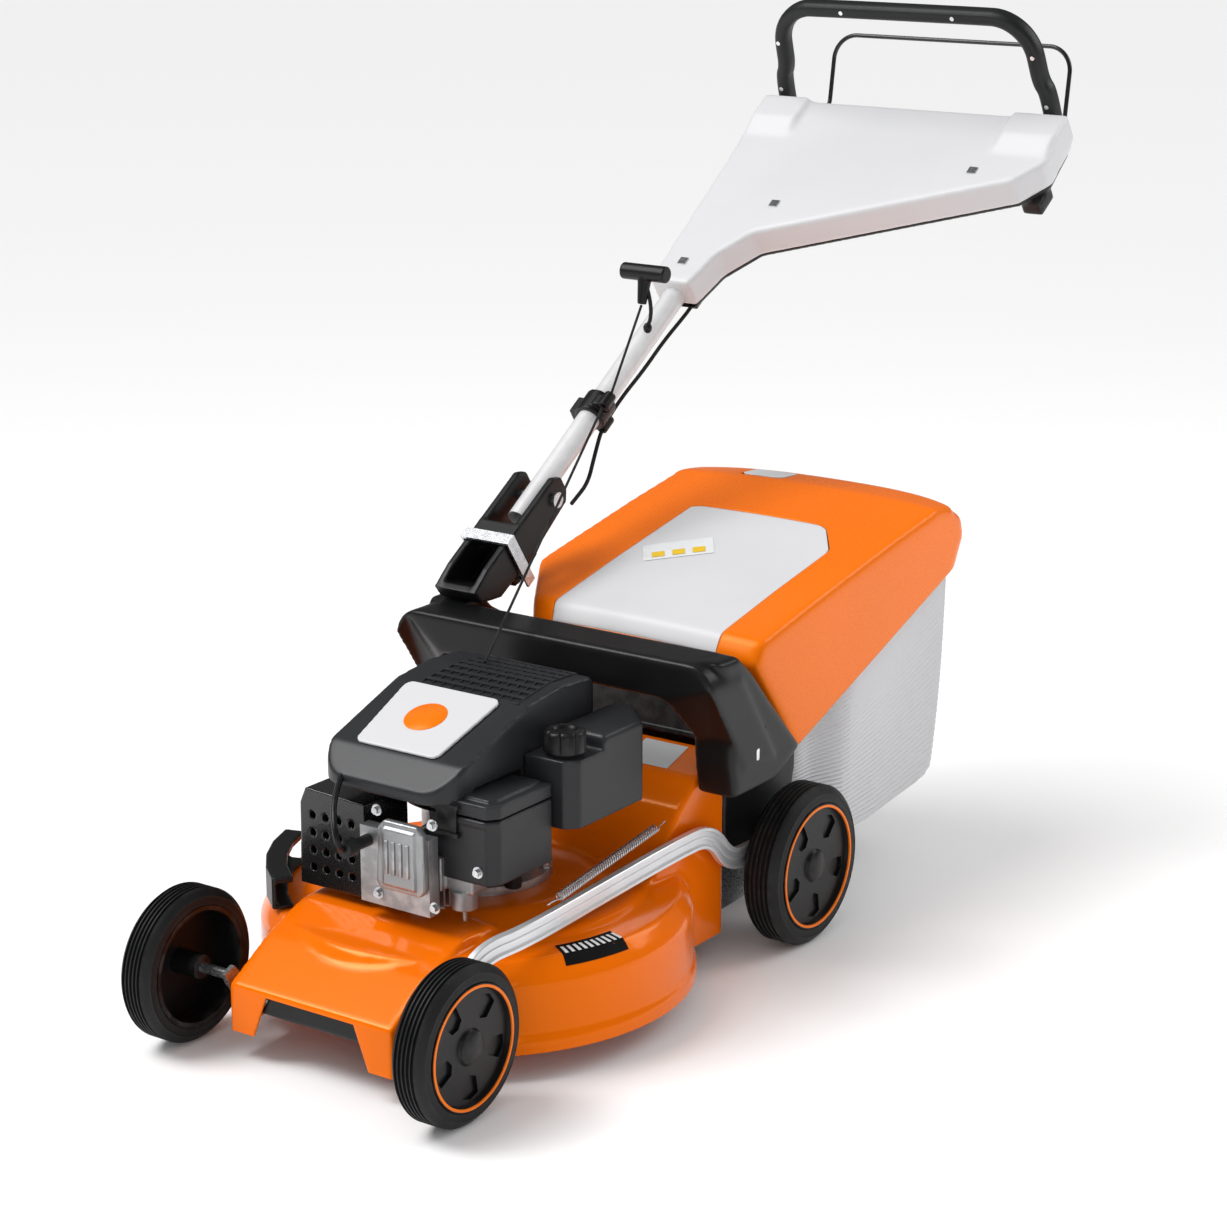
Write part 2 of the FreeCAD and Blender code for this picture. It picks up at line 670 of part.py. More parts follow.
def make_fuel():
    """The tank has a low part under the shroud and a high part beside it."""
    tank = new_body("tank_body")
    inner = dim.shroud_left + 2
    outer = dim.tank_side
    floor = dim.tank_floor
    low_top = dim.shroud_floor - 2
    pad(tank, "low_part", "XY", floor, low_top,
        [(inner - 8, -46), (outer - 14, -46), (outer, -32), (outer, 90), (outer - 36, 128),
         (inner - 20, 128),
         (inner - 34, 112), (inner - 34, 96), (inner - 8, 60)])
    pad(tank, "high_part", "XY", low_top - 1, floor + 80,
        [(inner, -46), (outer - 14, -46), (outer, -32), (outer, 90), (outer - 36, 128), (inner, 128)])
    pad(tank, "rear_part", "XY", low_top, floor + 98,
        [(inner, 14), (outer, 14), (outer, 90), (outer - 36, 128), (inner, 128)])
    round_edges(tank, "tank_top", 7,
                lambda edge: abs(edge.CenterOfMass.z - dim.tank_floor.value - 98) < 0.01)
    pad(tank, "filler", "XY", floor + 76, floor + 94, ("circle", dim.tank_x, -20, 17))
    pocket(tank, "filler_hole", "XY", floor + 68, floor + 95, ("circle", dim.tank_x, -20, 13))
    pocket(tank, "room", "XY", floor + 4, floor + 76,
           [(inner + 4, -40), (outer - 16, -40), (outer - 5, -28), (outer - 5, 86), (outer - 38, 122),
            (inner + 4, 122)])
    node("fuel_tank", tank)
    cap = new_body("fuel_cap_body")
    turned(cap, "cap", "Revolution", [(0, 9), (17.4, 9), (17.4, 0), (23, 0), (24.5, 5), (24, 20), (20, 23),
                                      (0, 24)])
    put(cap, dim.tank_x, -20, floor + 85.5)
    node("fuel_cap", cap)


def filter_outline(inset):
    """The air filter in plan, with a corner cut off to clear the flywheel housing."""
    low_x = dim.filter_x - 41 + inset
    high_x = dim.filter_x + 41 - inset
    front = -130 + inset
    rear = -54 - inset
    return [(low_x, front), (high_x, front), (high_x, rear - 12), (high_x - 10, rear), (low_x + 34, rear),
            (low_x, rear - 24)]


def make_intake():
    floor = dim.filter_floor
    split = floor + 66
    case = new_body("filter_box_body")
    pad(case, "walls", "XY", floor, split, filter_outline(0))
    pocket(case, "room", "XY", floor + 4, split + 1, filter_outline(3))
    node("air_filter_box", case)
    cover = new_body("filter_cover_body")
    pad(cover, "lid", "XY", split + dim.running_gap, split + 20, filter_outline(-2))
    lid_top = (split + 20).value
    round_edges(cover, "lid_rounding", 5, lambda edge: abs(edge.CenterOfMass.z - lid_top) < 0.01)
    node("air_filter_cover", cover)
    body = box("carb_body", (78, 116), (-158, -131), (198, 240))
    bowl = rod("carb_bowl", 15, 22, 97, -148, 176.4)
    flange = box("carb_flange", (66, 78), (-166, -132), (196, 236))
    lever = rod("carb_lever", 2.5, 40, 97, -148, 160)
    node("carburettor", fuse("carb", body, bowl, flange, lever))
    stem = rod("oil_stem", 10, 22, 84, -42, 165.2)
    cap = rod("oil_top", 15, 9, 84, -42, 187.2)
    node("oil_cap", fuse("oil_cap_solid", stem, cap))


def shroud_form(name, inset):
    """The blower hood's outside or its hollow, with a step that clears the air filter."""
    body = new_body(name)
    crest = dim.shroud_crest - inset
    low = dim.shroud_floor - inset
    pad(body, "form", "YZ", inset - dim.shroud_right, dim.shroud_left - inset,
        [(-182 + inset, low), (-182 + inset, low + 14), (-150 + as_size(inset) / 2, crest - 50),
         (-30, crest - 7),
         (30, crest), (88, crest - 4), (120 - inset, crest - 26), (120 - inset, low)])
    round_edges(body, "corners", 44 - inset, lambda edge: runs_along(edge, "Z"))
    step = box(name + "_step", (dim.filter_x - 43.5 - inset, 140), (-136 - inset, -46 + as_size(inset)),
               (low - 1, dim.filter_floor + 88.5 + inset))
    return cut(name + "_stepped", body, step)


def make_shroud():
    outer = shroud_form("shroud_outer", 0)
    inner = shroud_form("shroud_inner", dim.shroud_wall)
    hole = rod("rope_outlet", 5, 40, -24, 50, dim.shroud_crest - 20)
    hood = cut("shroud_hood", outer, inner, hole)
    housing_low = dim.block_top + 2
    height = dim.shroud_floor + 6 - housing_low
    drum = rod("housing_outer", dim.flywheel_radius + 5.5, height, 0, 0, housing_low)
    room = rod("housing_inner", dim.flywheel_radius + 3, height + 2, 0, 0, housing_low - 1)
    window = box("brake_window", (-dim.flywheel_radius - 16, -70), (-22, 30),
                 (housing_low - 1, dim.flywheel_z + 22))
    node("engine_shroud", fuse("shroud", hood, cut("flywheel_housing", drum, room, window)))


def make_badge():
    body = new_body("badge_body")
    pad(body, "panel", "XY", 0, 4, [(-56, 0), (60, 0), (68, 118), (-68, 118)])
    round_edges(body, "panel_corners", 10, lambda edge: runs_along(edge, "Z"))
    body.Placement = FreeCAD.Placement()
    put(body, 0, -148, dim.shroud_crest - 49, (1, 0, 0), 19.7)
    node("engine_badge", body)


def make_spinning_parts():
    shaft = rod("crank_main", dim.crank_bore, 216, 0, 0, 80)
    throw = box("crank_throw", (-14, 14), (-46, 26), (196, 218))
    node("crankshaft", fuse("crank", shaft, throw))
    wheel = new_body("flywheel_body")
    radius = dim.flywheel_radius
    turned(wheel, "wheel", "Revolution",
           [(dim.crank_bore, 0), (24, 0), (26, 8), (radius - 12, 8), (radius - 12, 0), (radius, 0),
            (radius, 22),
            (radius - 14, 24), (30, 14), (dim.crank_bore, 14)])
    for place in range(12):
        pad(wheel, f"vane_{place}", "XY", 20, 36, spoke(30 * place, radius - 26, radius - 3, 1.6))
    put(wheel, 0, 0, dim.flywheel_z)
    node("flywheel", wheel)
    boss = rod("adapter_boss", 26, 44, 0, 0, dim.blade_z + dim.blade_thick)
    hole = rod("adapter_hole", dim.crank_bore, 60, 0, 0, 80)
    screw = rod("adapter_screw_hole", 5, 60, 0, 0, dim.blade_z)
    node("blade_adapter", cut("adapter", boss, hole, screw))
    head = rod("bolt_head", 11, 9, 0, 0, dim.blade_z - 9)
    washer = rod("bolt_washer", 20, 3, 0, 0, dim.blade_z - 3)
    stem = rod("bolt_stem", 5, 16, 0, 0, dim.blade_z - 1)
    node("blade_bolt", fuse("bolt", head, washer, stem))
    blade = new_body("blade_body")
    reach = dim.blade_reach
    pad(blade, "bar", "XY", 0, dim.blade_thick,
        [(-24, -reach + 6), (24, -reach + 2), (24, -reach + 90), (27, 0), (24, reach - 90), (24, reach - 6),
         (-24, reach - 2),
         (-24, reach - 90), (-27, 0), (-24, -reach + 90)])
    pocket(blade, "bolt_hole", "XY", -1, dim.blade_thick + 1, ("circle", 0, 0, 5))
    for end in (-1, 1):
        low_x, high_x = (-24, -8) if end > 0 else (8, 24)
        far, near = sorted((end * 215, end * 150))
        pad(blade, f"lift_{end + 1}", "XY", dim.blade_thick - 1, dim.blade_thick + 11,
            [(low_x, far), (high_x, far), (high_x, near), (low_x, near)])
    put(blade, 0, 0, dim.blade_z)
    node("blade", blade)


def spoke(angle, near, far, half):
    """A straight vane between two radii."""
    c, s = cosine(angle), sine(angle)
    return [(c * near + s * half, s * near - c * half), (c * far + s * half, s * far - c * half),
            (c * far - s * half, s * far + c * half), (c * near - s * half, s * near + c * half)]


def make_starter():
    drum = rod("reel_drum", 30, 12, 0, 0, 318)
    flange = rod("reel_flange", 46, 3, 0, 0, 330)
    hole = rod("reel_hole", 6, 60, 0, 0, 300)
    node("starter_reel", cut("reel", fuse("reel_solid", drum, flange), hole))
    arm = box("brake_arm", (-104, -96), (-30, 60), (262, 268))
    pad_block = box("brake_pad", (-97, dim.flywheel_radius * -1 - 1.5), (-12, 20), (260, 276))
    pin = rod("brake_pin", 4, 16, -100, 56, 256)
    node("flywheel_brake", fuse("brake", arm, pad_block, pin))


# Handle, built flat: x across, y up the tube from the fold pivot, z square to it

def on_handle(thing):
    return put(thing, 0, dim.pivot_y, dim.pivot_z, (1, 0, 0), dim.handle_angle)


def make_console():
    """The forked bracket that the tube folds in."""
    body = new_body("console_body")
    middle = dim.handle_x
    for name, near in (("outer_cheek", middle - 32), ("inner_cheek", middle + 22)):
        pad(body, name, "YZ", near, near + 10,
            [(-184, 2), (-150, -22), (-60, -26), (16, -20), (26, -8), (26, 14), (14, 24), (-90, 26),
             (-150, 27), (-186, 22)])
    pad(body, "web", "YZ", middle - 32, middle + 32,
        [(-184, 2), (-150, -22), (-70, -26), (-70, -20), (-140, -14), (-176, 22), (-186, 22)])
    pad(body, "cross", "YZ", middle - 32, middle + 32, [(-104, 12), (-70, 12), (-70, 26), (-104, 26)])
    pocket(body, "pivot_hole", "YZ", middle - 40, middle + 40, ("circle", 0, 0, 6.05))
    node("handle_console", on_handle(body))
    bolt = rod("pivot_shank", 6, 66, middle - 33, 0, 0, "X")
    nut = rod("pivot_head", 10, 5, middle + 32.2, 0, 0, "X")
    cap = rod("pivot_cap", 10, 5, middle - 37.2, 0, 0, "X")
    node("pivot_bolt", on_handle(fuse("pivot_set", bolt, nut, cap)))


def make_clamp():
    """A strap over the bracket's front, and the lever behind it that turns on the strap's pin."""
    middle = dim.handle_x
    pin_along = -100
    pin_square = -42
    strap = new_body("strap_body")
    for name, near in (("strap_outer", middle - 37), ("strap_inner", middle + 34)):
        pad(strap, name, "YZ", near, near + 3,
            [(pin_along - 8, pin_square - 5), (pin_along + 8, pin_square - 5), (pin_along + 8, 31),
             (pin_along - 8, 31)])
    pad(strap, "plate", "YZ", middle - 37, middle + 37,
        [(pin_along - 8, 27.2), (pin_along + 8, 27.2), (pin_along + 8, 31), (pin_along - 8, 31)])
    pad(strap, "pin", "YZ", middle - 37, middle + 37, ("circle", pin_along, pin_square, 3))
    node("clamp_strap", on_handle(strap))
    lever = new_body("clamp_body")
    pad(lever, "lever", "YZ", middle - 17, middle + 17,
        [(-110, -38), (-100, -36), (-60, -34), (-50, -40), (-54, -47), (-100, -51), (-110, -48)])
    pocket(lever, "pin_hole", "YZ", middle - 18, middle + 18, ("circle", pin_along, pin_square, 3.1))
    node("clamp_lever", on_handle(lever))


def make_tube():
    tube = rod("tube_outer", dim.tube_radius, 560, dim.handle_x, -42, 0, "Y")
    inner = rod("tube_inner", dim.tube_radius - dim.tube_wall, 570, dim.handle_x, -47, 0, "Y")
    pin = rod("tube_pivot_hole", 6.05, 60, dim.handle_x - 30, 0, 0, "X")
    node("handle_tube", on_handle(cut("tube", tube, inner, pin)))
    collar = rod("guide_collar", dim.tube_radius + 6, 34, dim.handle_x, 142, 0, "Y")
    eye = rod("guide_eye", 8, 22, dim.handle_x + 26, 148, 20, "Y")
    arm = box("guide_arm", (dim.handle_x + 8, dim.handle_x + 30), (150, 168), (6, 22))
    screw = box("guide_knob", (dim.handle_x - 32, dim.handle_x - 12), (146, 172), (-14, 6))
    cable_eye = rod("guide_cable_eye", 8, 22, dim.handle_x + 6, 148, -24, "Y")
    hole = rod("guide_bore", dim.tube_radius, 60, dim.handle_x, 130, 0, "Y")
    rope_hole = rod("guide_rope_hole", dim.rope_radius + 1.6, 40, dim.handle_x + 26, 138, 20, "Y")
    cable_hole = rod("guide_cable_hole", dim.cable_radius + 2, 40, dim.handle_x + 6, 138, -24, "Y")
    solid = fuse("guide_solid", collar, eye, arm, screw, cable_eye)
    node("rope_guide", on_handle(cut("guide", solid, hole, rope_hole, cable_hole)))


def cover_outline(inset, run_out=0):
    """The fairing seen square to the handle: narrow at the tube, wide at the grip."""
    start = dim.cover_start - run_out
    stop = dim.cover_start + dim.cover_length - inset
    left = dim.handle_x - 29 + inset
    right = dim.handle_x + 30 - inset
    return [
        (left, start), (right, start), (right + 12, dim.cover_start + dim.cover_length * 0.16),
        (-106, dim.cover_start + dim.cover_length * 0.288 + inset),
        (214, dim.cover_start + dim.cover_length * 2 / 3 + inset), (243 - as_size(inset), stop + inset - 83),
        (238 - as_size(inset), stop - 12), (222, stop), (-206, stop), (-226 + as_size(inset), stop - 14),
    ]


def cover_form(name, low, high, inset, run_out, rounding, top):
    body = new_body(name)
    pad(body, "shell", "XY", low, high, cover_outline(inset, run_out))
    round_edges(body, "plan_corners", 10, lambda edge: runs_along(edge, "Z")
                and edge.CenterOfMass.y > dim.cover_start.value + 20)
    face_z = as_size(high if top else low).value
    round_edges(body, "edge_rounding", rounding,
                lambda edge: abs(edge.CenterOfMass.z - face_z) < 0.01
                and edge.BoundBox.YMax > dim.cover_start.value + 5)
    return body


def make_cover():
    wall = dim.cover_wall
    upper_outer = cover_form("cover_top_outer", 0, 28, 0, 0, 11, True)
    upper_inner = cover_form("cover_top_inner", -1, 28 - wall, wall, 1, 8, True)
    node("cover_top", on_handle(cut("cover_top_shell", upper_outer, upper_inner)))
    lower_outer = cover_form("cover_low_outer", -22, -0.2, 1.5, 0, 8, False)
    lower_inner = cover_form("cover_low_inner", -22 + wall, 1, wall + 1.5, 1, 6, False)
    ears = []
    for side in (-1, 1):
        low, high = sorted((side * (dim.bail_half + 8), side * (dim.grip_half + 4)),
                           key=lambda size: size.value)
        ear = box(f"ear_{side + 1}", (low, high), (dim.cover_start + dim.cover_length - 5, grip_along() + 9), (-42, -0.2))
        bore = rod(f"ear_bore_{side + 1}", dim.bail_radius + 0.05, 60, low - 4, grip_along(), -34, "X")
        ears.append(cut(f"ear_cut_{side + 1}", ear, bore))
    hook = box("cable_stop", (dim.handle_x + 2, dim.handle_x + 18),
               (dim.cover_start + 12, dim.cover_start + 34), (-34, -21))
    bracket = box("lever_bracket", (206, 236),
                  (dim.cover_start + dim.cover_length - 113, dim.cover_start + dim.cover_length - 75), (-42, -20))
    shell = cut("cover_low_shell", lower_outer, lower_inner)
    node("cover_bottom", on_handle(fuse("cover_low_set", shell, hook, bracket, *ears)))


def make_grip():
    """A loop standing on the cover's rear edge."""
    body = new_body("grip_body")
    half = dim.grip_half + dim.grip_thick / 2
    inner = dim.grip_half - dim.grip_thick / 2
    low = 1.6
    pad(body, "loop", "XZ", -dim.grip_depth / 2, dim.grip_depth / 2,
        [(-half, low), (half, low), (half, dim.grip_rise), (-half, dim.grip_rise)])
    round_edges(body, "outer_corners", 70, lambda edge: runs_along(edge, "Y") and edge.CenterOfMass.z > 100)
    pocket(body, "opening", "XZ", -dim.grip_depth, dim.grip_depth,
           [(-inner, low - 1), (inner, low - 1), (inner, dim.grip_rise - dim.grip_thick),
            (-inner, dim.grip_rise - dim.grip_thick)])
    round_edges(body, "inner_corners", 50,
                lambda edge: runs_along(edge, "Y") and abs(abs(edge.CenterOfMass.x) - inner.value) < 0.1
                and edge.CenterOfMass.z > 100)
    round_edges(body, "soft_edges", 9, is_grip_long_edge)
    put(body, 0, dim.pivot_y + grip_foot()[0], dim.pivot_z + grip_foot()[1], (1, 0, 0),
        dim.handle_angle - dim.grip_lean)
    node("grip_loop", body)


def grip_along():
    """How far up the handle the grip loop stands, just behind the cover's rear edge."""
    return dim.cover_start + dim.cover_length + 14.5


def grip_foot():
    """Where the loop's middle stands, from the fold pivot."""
    along = grip_along()
    return (along * cosine(dim.handle_angle), along * sine(dim.handle_angle))


def is_grip_long_edge(edge):
    return abs(abs(edge.CenterOfMass.y) - dim.grip_depth.value / 2) < 0.01 and edge.CenterOfMass.z > 1.7


def make_fasteners():
    pieces = []
    for place, (x, along, top) in enumerate(((-178, 38, 28), (-102, 164, 28), (151, 261, 28))):
        pieces.append(box(f"clip_{place}", (x - 6, x + 6),
                          (dim.cover_start + along - 6, dim.cover_start + along + 6), (top + 0.05,
                                                                                       top + 1.5)))
    node("cover_clips", on_handle(group("clip_set", *pieces)))


def make_bail():
    half = dim.bail_half
    start_y = grip_along()
    reach = dim.bail_reach
    points = [(-half - 20, start_y, -34), (-half, start_y, -34), (-half, start_y + 56, -42),
              (-half, start_y + reach, 32),
              (half, start_y + reach, 32), (half, start_y + 56, -42), (half, start_y, -34),
              (half + 20, start_y, -34)]
    thing = bent_rod("bail_rod", points, dim.bail_radius, [8, 24, 34, 34, 24, 8])
    node("bail", place_on_handle(thing))


def place_on_handle(thing):
    base = FreeCAD.Vector(0, dim.pivot_y.value, dim.pivot_z.value)
    thing.Placement = FreeCAD.Placement(base, FreeCAD.Rotation(FreeCAD.Vector(1, 0, 0),
                                                               dim.handle_angle.value))
    return thing


# Starter grip and cords

def guide_point(along, x, square):
    """A point given on the handle, in the mower's own frame."""
    angle = math.radians(dim.handle_angle.value)
    y = dim.pivot_y.value + along * math.cos(angle) - square * math.sin(angle)
    z = dim.pivot_z.value + along * math.sin(angle) + square * math.cos(angle)
    return (x, y, z)


def make_cords():
    eye_x = dim.handle_x.value + 26
    outlet = (-24, 50, dim.shroud_crest.value + 1.5)
    eye_in = guide_point(147.8, eye_x, 20)
    eye_out = guide_point(170.2, eye_x, 20)
    grip_end = guide_point(296, eye_x - 8, 62)
    rope_end = guide_point(294.6, eye_x - 8, 61.5)
    bar_centre = guide_point(326, eye_x - 9, 90)
    node("starter_rope_lower", bent_rod("rope_low", [outlet, eye_in], dim.rope_radius, []))
    node("starter_rope_upper", bent_rod("rope_up", [eye_out, rope_end], dim.rope_radius, []))
    stem_run = FreeCAD.Vector(*bar_centre) - FreeCAD.Vector(*grip_end)
    stem = Part.makeCone(6, 10, stem_run.Length, FreeCAD.Vector(*grip_end), stem_run)
    bar = Part.makeCylinder(11, 68, FreeCAD.Vector(*bar_centre) - FreeCAD.Vector(34, 0, 0),
                            FreeCAD.Vector(1, 0, 0))
    thing = doc.addObject("Part::Feature", "grip_shape")
    thing.Shape = stem.fuse(bar).removeSplitter()
    node("starter_grip", thing)

    cable_x = dim.handle_x.value + 6
    route = [guide_point(26, cable_x + 22, -34), guide_point(72, cable_x + 16, -44),
             guide_point(112, cable_x + 6, -36),
             guide_point(150, cable_x, -24), guide_point(206, cable_x - 1, -22.4),
             guide_point(262, cable_x, -26),
             guide_point(318, cable_x + 1, -25), guide_point(372, cable_x + 4, -27),
             guide_point(390.6, cable_x + 4, -27.6)]
    radii = largest_radii(route)
    print("stop cable radii", [round(radius) for radius in radii])
    node("stop_cable", bent_rod("cable", route, dim.cable_radius, radii))


# Catcher

def hood_profile(inset):
    """Side view: front lip behind the casing, gently rising top, rounded rear."""
    inset = as_size(inset)
    return [
        (396 + inset, 252 - inset * 2), (800 - inset, 402 - inset * 2), (826 - inset, 424),
        (818 - inset, 448 - inset),
        (780, 468 - inset), (720, 472 - inset), (600, 452 - inset), (420, 418 - inset),
        (296 + inset, 392 - inset),
        (282 + inset, 368 - inset),
    ]


def hood_form(name, inset):
    body = new_body(name)
    half = dim.hood_half - inset
    corner = as_size(inset) - 126
    pad(body, "form", "YZ", -half, half, hood_profile(inset))
    pocket(body, "handle_corner", "XY", 200, 500,
           [(-half - 1, 240), (-half - 1, 398 + as_size(inset)), (corner, 278), (corner, 240)])
    round_edges(body, "shoulders", 20 - as_size(inset), is_hood_shoulder(half.value))
    return body


def is_hood_shoulder(half):
    def chosen(edge):
        centre = edge.CenterOfMass
        return abs(abs(centre.x) - half) < 0.01 and edge.BoundBox.ZMin > 395 and centre.y > 420
    return chosen


def insert_outline(inset):
    """The pale panel in the hood's top."""
    gap = as_size(inset)
    return [(gap - 104, 260), (144 - gap, 260), (144 - gap, 540), (100, 606 - gap), (-100, 606 - gap),
            (gap - 144, 540), (gap - 144, 408 + gap), (gap - 104, 300)]


def window_form(name, inset):
    body = new_body(name)
    pad(body, "window", "XY", 380, 500, insert_outline(inset))
    round_edges(body, "window_corners", 12, lambda edge: runs_along(edge, "Z"))
    return body


def bag_profile():
    return [(268, 114), (408, 114), (470, dim.bag_floor + 10), (600, dim.bag_floor),
            (756, dim.bag_floor + 16),
            (786, dim.bag_floor + 34), (799, 397.6), (396, 248), (396, 256), (268, 256)]


def bag_room():
    wall = dim.bag_wall
    floor = dim.bag_floor + wall
    return [(267, 114 + wall), (409, 114 + wall), (471, floor + 10), (600, floor), (755, floor + 16),
            (784 - wall, floor + 34), (799 - wall, 420), (396 + wall, 275), (396 + wall, 256 - wall),
            (267, 256 - wall)]


def make_catcher():
    outer = hood_form("hood_outer", 0)
    inner = hood_form("hood_inner", dim.hood_wall)
    skin = cut("hood_skin", outer, inner)
    node("hood", cut("hood_shell", skin, window_form("hood_window", 0)))
    panel = doc.addObject("Part::Common", "insert_panel")
    panel.Base = cut("hood_skin_again", outer, inner)
    panel.Tool = window_form("insert_form", 0.2)
    node("hood_insert", panel)

    bag = new_body("bag_body")
    pad(bag, "outside", "YZ", -dim.bag_half, dim.bag_half, bag_profile())
    wide_from = 486
    wide = dim.bag_rear_half
    rear = bag_profile()[3:7]
    pad(bag, "rear_outside", "YZ", -wide, wide, [(wide_from, 101)] + rear + [(wide_from, 281.4)])
    pad(bag, "rim", "YZ", -dim.hood_half, dim.hood_half,
        [(420, 252), (799, 392.6), (799, 401.6), (420, 260.9)])
    inside = dim.bag_half - dim.bag_wall
    pocket(bag, "inside", "YZ", -inside, inside, bag_room())
    wall = dim.bag_wall
    room = bag_room()[3:7]
    pocket(bag, "rear_inside", "YZ", wall - wide, wide - wall,
           [(wide_from + wall, 104)] + room + [(wide_from + wall, 312)])
    node("bag_box", bag)

    flap = new_body("level_flap_body")
    pad(flap, "flap", "YZ", -112, -42, [(724, 472.1), (774, 468.8), (774, 471.3), (724, 474.6)])
    node("level_flap", flap)


def make_discharge_flap():
    body = new_body("flap_body")
    half = dim.tunnel_half - 20
    hinge_y = dim.tunnel_rear + 6
    hinge_z = dim.tunnel_top + 10
    pad(body, "plate", "YZ", -half, half,
        [(hinge_y - 2, hinge_z), (hinge_y + 2, hinge_z), (hinge_y + 9, hinge_z + 92),
         (hinge_y + 5, hinge_z + 92)])
    pad(body, "barrel", "YZ", -half, half, ("circle", hinge_y, hinge_z, 4.5))
    node("discharge_flap", body)


make_deck()
make_brackets()
make_casing()
make_side_shield()
front = front_pivot()
rear = rear_pivot()
for side, word in ((1, "left"), (-1, "right")):
    make_wheel(f"front_{word}", dim.front_wheel_radius, dim.front_wheel_width, dim.front_track,
               dim.front_axle_y, side)
    make_wheel(f"rear_{word}", dim.rear_wheel_radius, dim.rear_wheel_width, dim.rear_track, dim.rear_axle_y,
               side)
make_axle("front_axle", front, dim.front_wheel_radius, dim.front_axle_y, dim.nose_half + 9, dim.front_track,
          dim.link_x - 26)
make_axle("rear_axle", rear, dim.rear_wheel_radius, dim.rear_axle_y, dim.tunnel_half + 2, dim.rear_track,
          dim.link_x)
make_link()
make_height_spring()
make_block()
make_muffler()
make_fuel()
make_intake()
make_shroud()
make_badge()
make_spinning_parts()
make_starter()
make_console()
make_clamp()
make_tube()
make_cover()
make_grip()
make_fasteners()
make_bail()
make_cords()
make_catcher()
make_discharge_flap()

doc.recompute()
faults = [item.Name for item in doc.Objects if "Invalid" in item.State or "Error" in item.State]
for label, thing in nodes.items():
    shape = thing.Shape
    if shape.isNull() or not shape.isValid() or not shape.Solids:
        faults.append(label)
if faults:
    raise ValueError(f"not built: {faults}")

os.makedirs("parts", exist_ok=True)
for label, thing in nodes.items():
    thing.Shape.exportStep(f"parts/{label}.step")
print(len(nodes), "sub-parts written")
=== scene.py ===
import json
import math

import bmesh
import bpy
from mathutils import Matrix, Vector
from mathutils.bvhtree import BVHTree


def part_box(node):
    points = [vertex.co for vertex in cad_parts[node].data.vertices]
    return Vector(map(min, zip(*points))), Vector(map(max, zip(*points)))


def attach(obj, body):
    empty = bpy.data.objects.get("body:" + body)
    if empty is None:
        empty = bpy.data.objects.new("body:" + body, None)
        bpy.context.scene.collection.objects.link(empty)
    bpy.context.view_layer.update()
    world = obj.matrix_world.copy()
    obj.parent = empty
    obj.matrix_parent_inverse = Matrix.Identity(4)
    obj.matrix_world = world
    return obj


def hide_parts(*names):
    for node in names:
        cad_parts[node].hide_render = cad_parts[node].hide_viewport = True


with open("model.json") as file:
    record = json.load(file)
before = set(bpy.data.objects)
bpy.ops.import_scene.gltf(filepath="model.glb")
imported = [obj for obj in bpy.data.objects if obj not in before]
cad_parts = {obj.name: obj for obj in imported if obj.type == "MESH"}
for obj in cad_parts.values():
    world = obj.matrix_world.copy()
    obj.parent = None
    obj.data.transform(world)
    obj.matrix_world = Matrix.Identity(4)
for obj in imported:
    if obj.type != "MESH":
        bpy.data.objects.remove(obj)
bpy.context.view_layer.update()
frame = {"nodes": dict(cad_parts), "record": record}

# Rotary lawn mower: moulded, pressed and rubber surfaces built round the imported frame.
# The mower's front is -Y and its left side is +X.

scene = bpy.context.scene
nodes = frame["nodes"]
bodyOf = {node: body for body, members in frame["record"]["behaviour"]["bodies"].items() for node in members}
slotOf = {part["node"]: part["material_slot"] for part in frame["record"]["subparts"]}


# Shader groups

def newGroup(name, inputs, outputs):
    group = bpy.data.node_groups.new(name, "ShaderNodeTree")
    for label, kind, value in inputs:
        socket = group.interface.new_socket(label, in_out="INPUT", socket_type="NodeSocket" + kind)
        socket.default_value = value
    for label, kind in outputs:
        group.interface.new_socket(label, in_out="OUTPUT", socket_type="NodeSocket" + kind)
    return group, group.nodes.new("NodeGroupInput"), group.nodes.new("NodeGroupOutput")


def addNode(tree, kind, **values):
    node = tree.nodes.new("ShaderNode" + kind)
    for name, value in values.items():
        setattr(node, name, value)
    return node


def noiseIn(tree, scale, detail=3.0):
    coords = addNode(tree, "TexCoord")
    noise = addNode(tree, "TexNoise")
    noise.inputs["Detail"].default_value = detail
    tree.links.new(coords.outputs["Object"], noise.inputs["Vector"])
    if isinstance(scale, float):
        noise.inputs["Scale"].default_value = scale
    else:
        tree.links.new(scale, noise.inputs["Scale"])
    return noise


def rangeOf(tree, value, low, high, toLow=0.0, toHigh=1.0):
    spread = addNode(tree, "MapRange")
    tree.links.new(value, spread.inputs["Value"])
    for label, number in (("From Min", low), ("From Max", high), ("To Min", toLow), ("To Max", toHigh)):
        if isinstance(number, float):
            spread.inputs[label].default_value = number
        else:
            tree.links.new(number, spread.inputs[label])
    return spread.outputs["Result"]


def mixColour(tree, factor, first, second):
    mix = addNode(tree, "Mix", data_type="RGBA")
    tree.links.new(factor, mix.inputs[0])
    tree.links.new(first, mix.inputs[6])
    tree.links.new(second, mix.inputs[7])
    return mix.outputs[2]


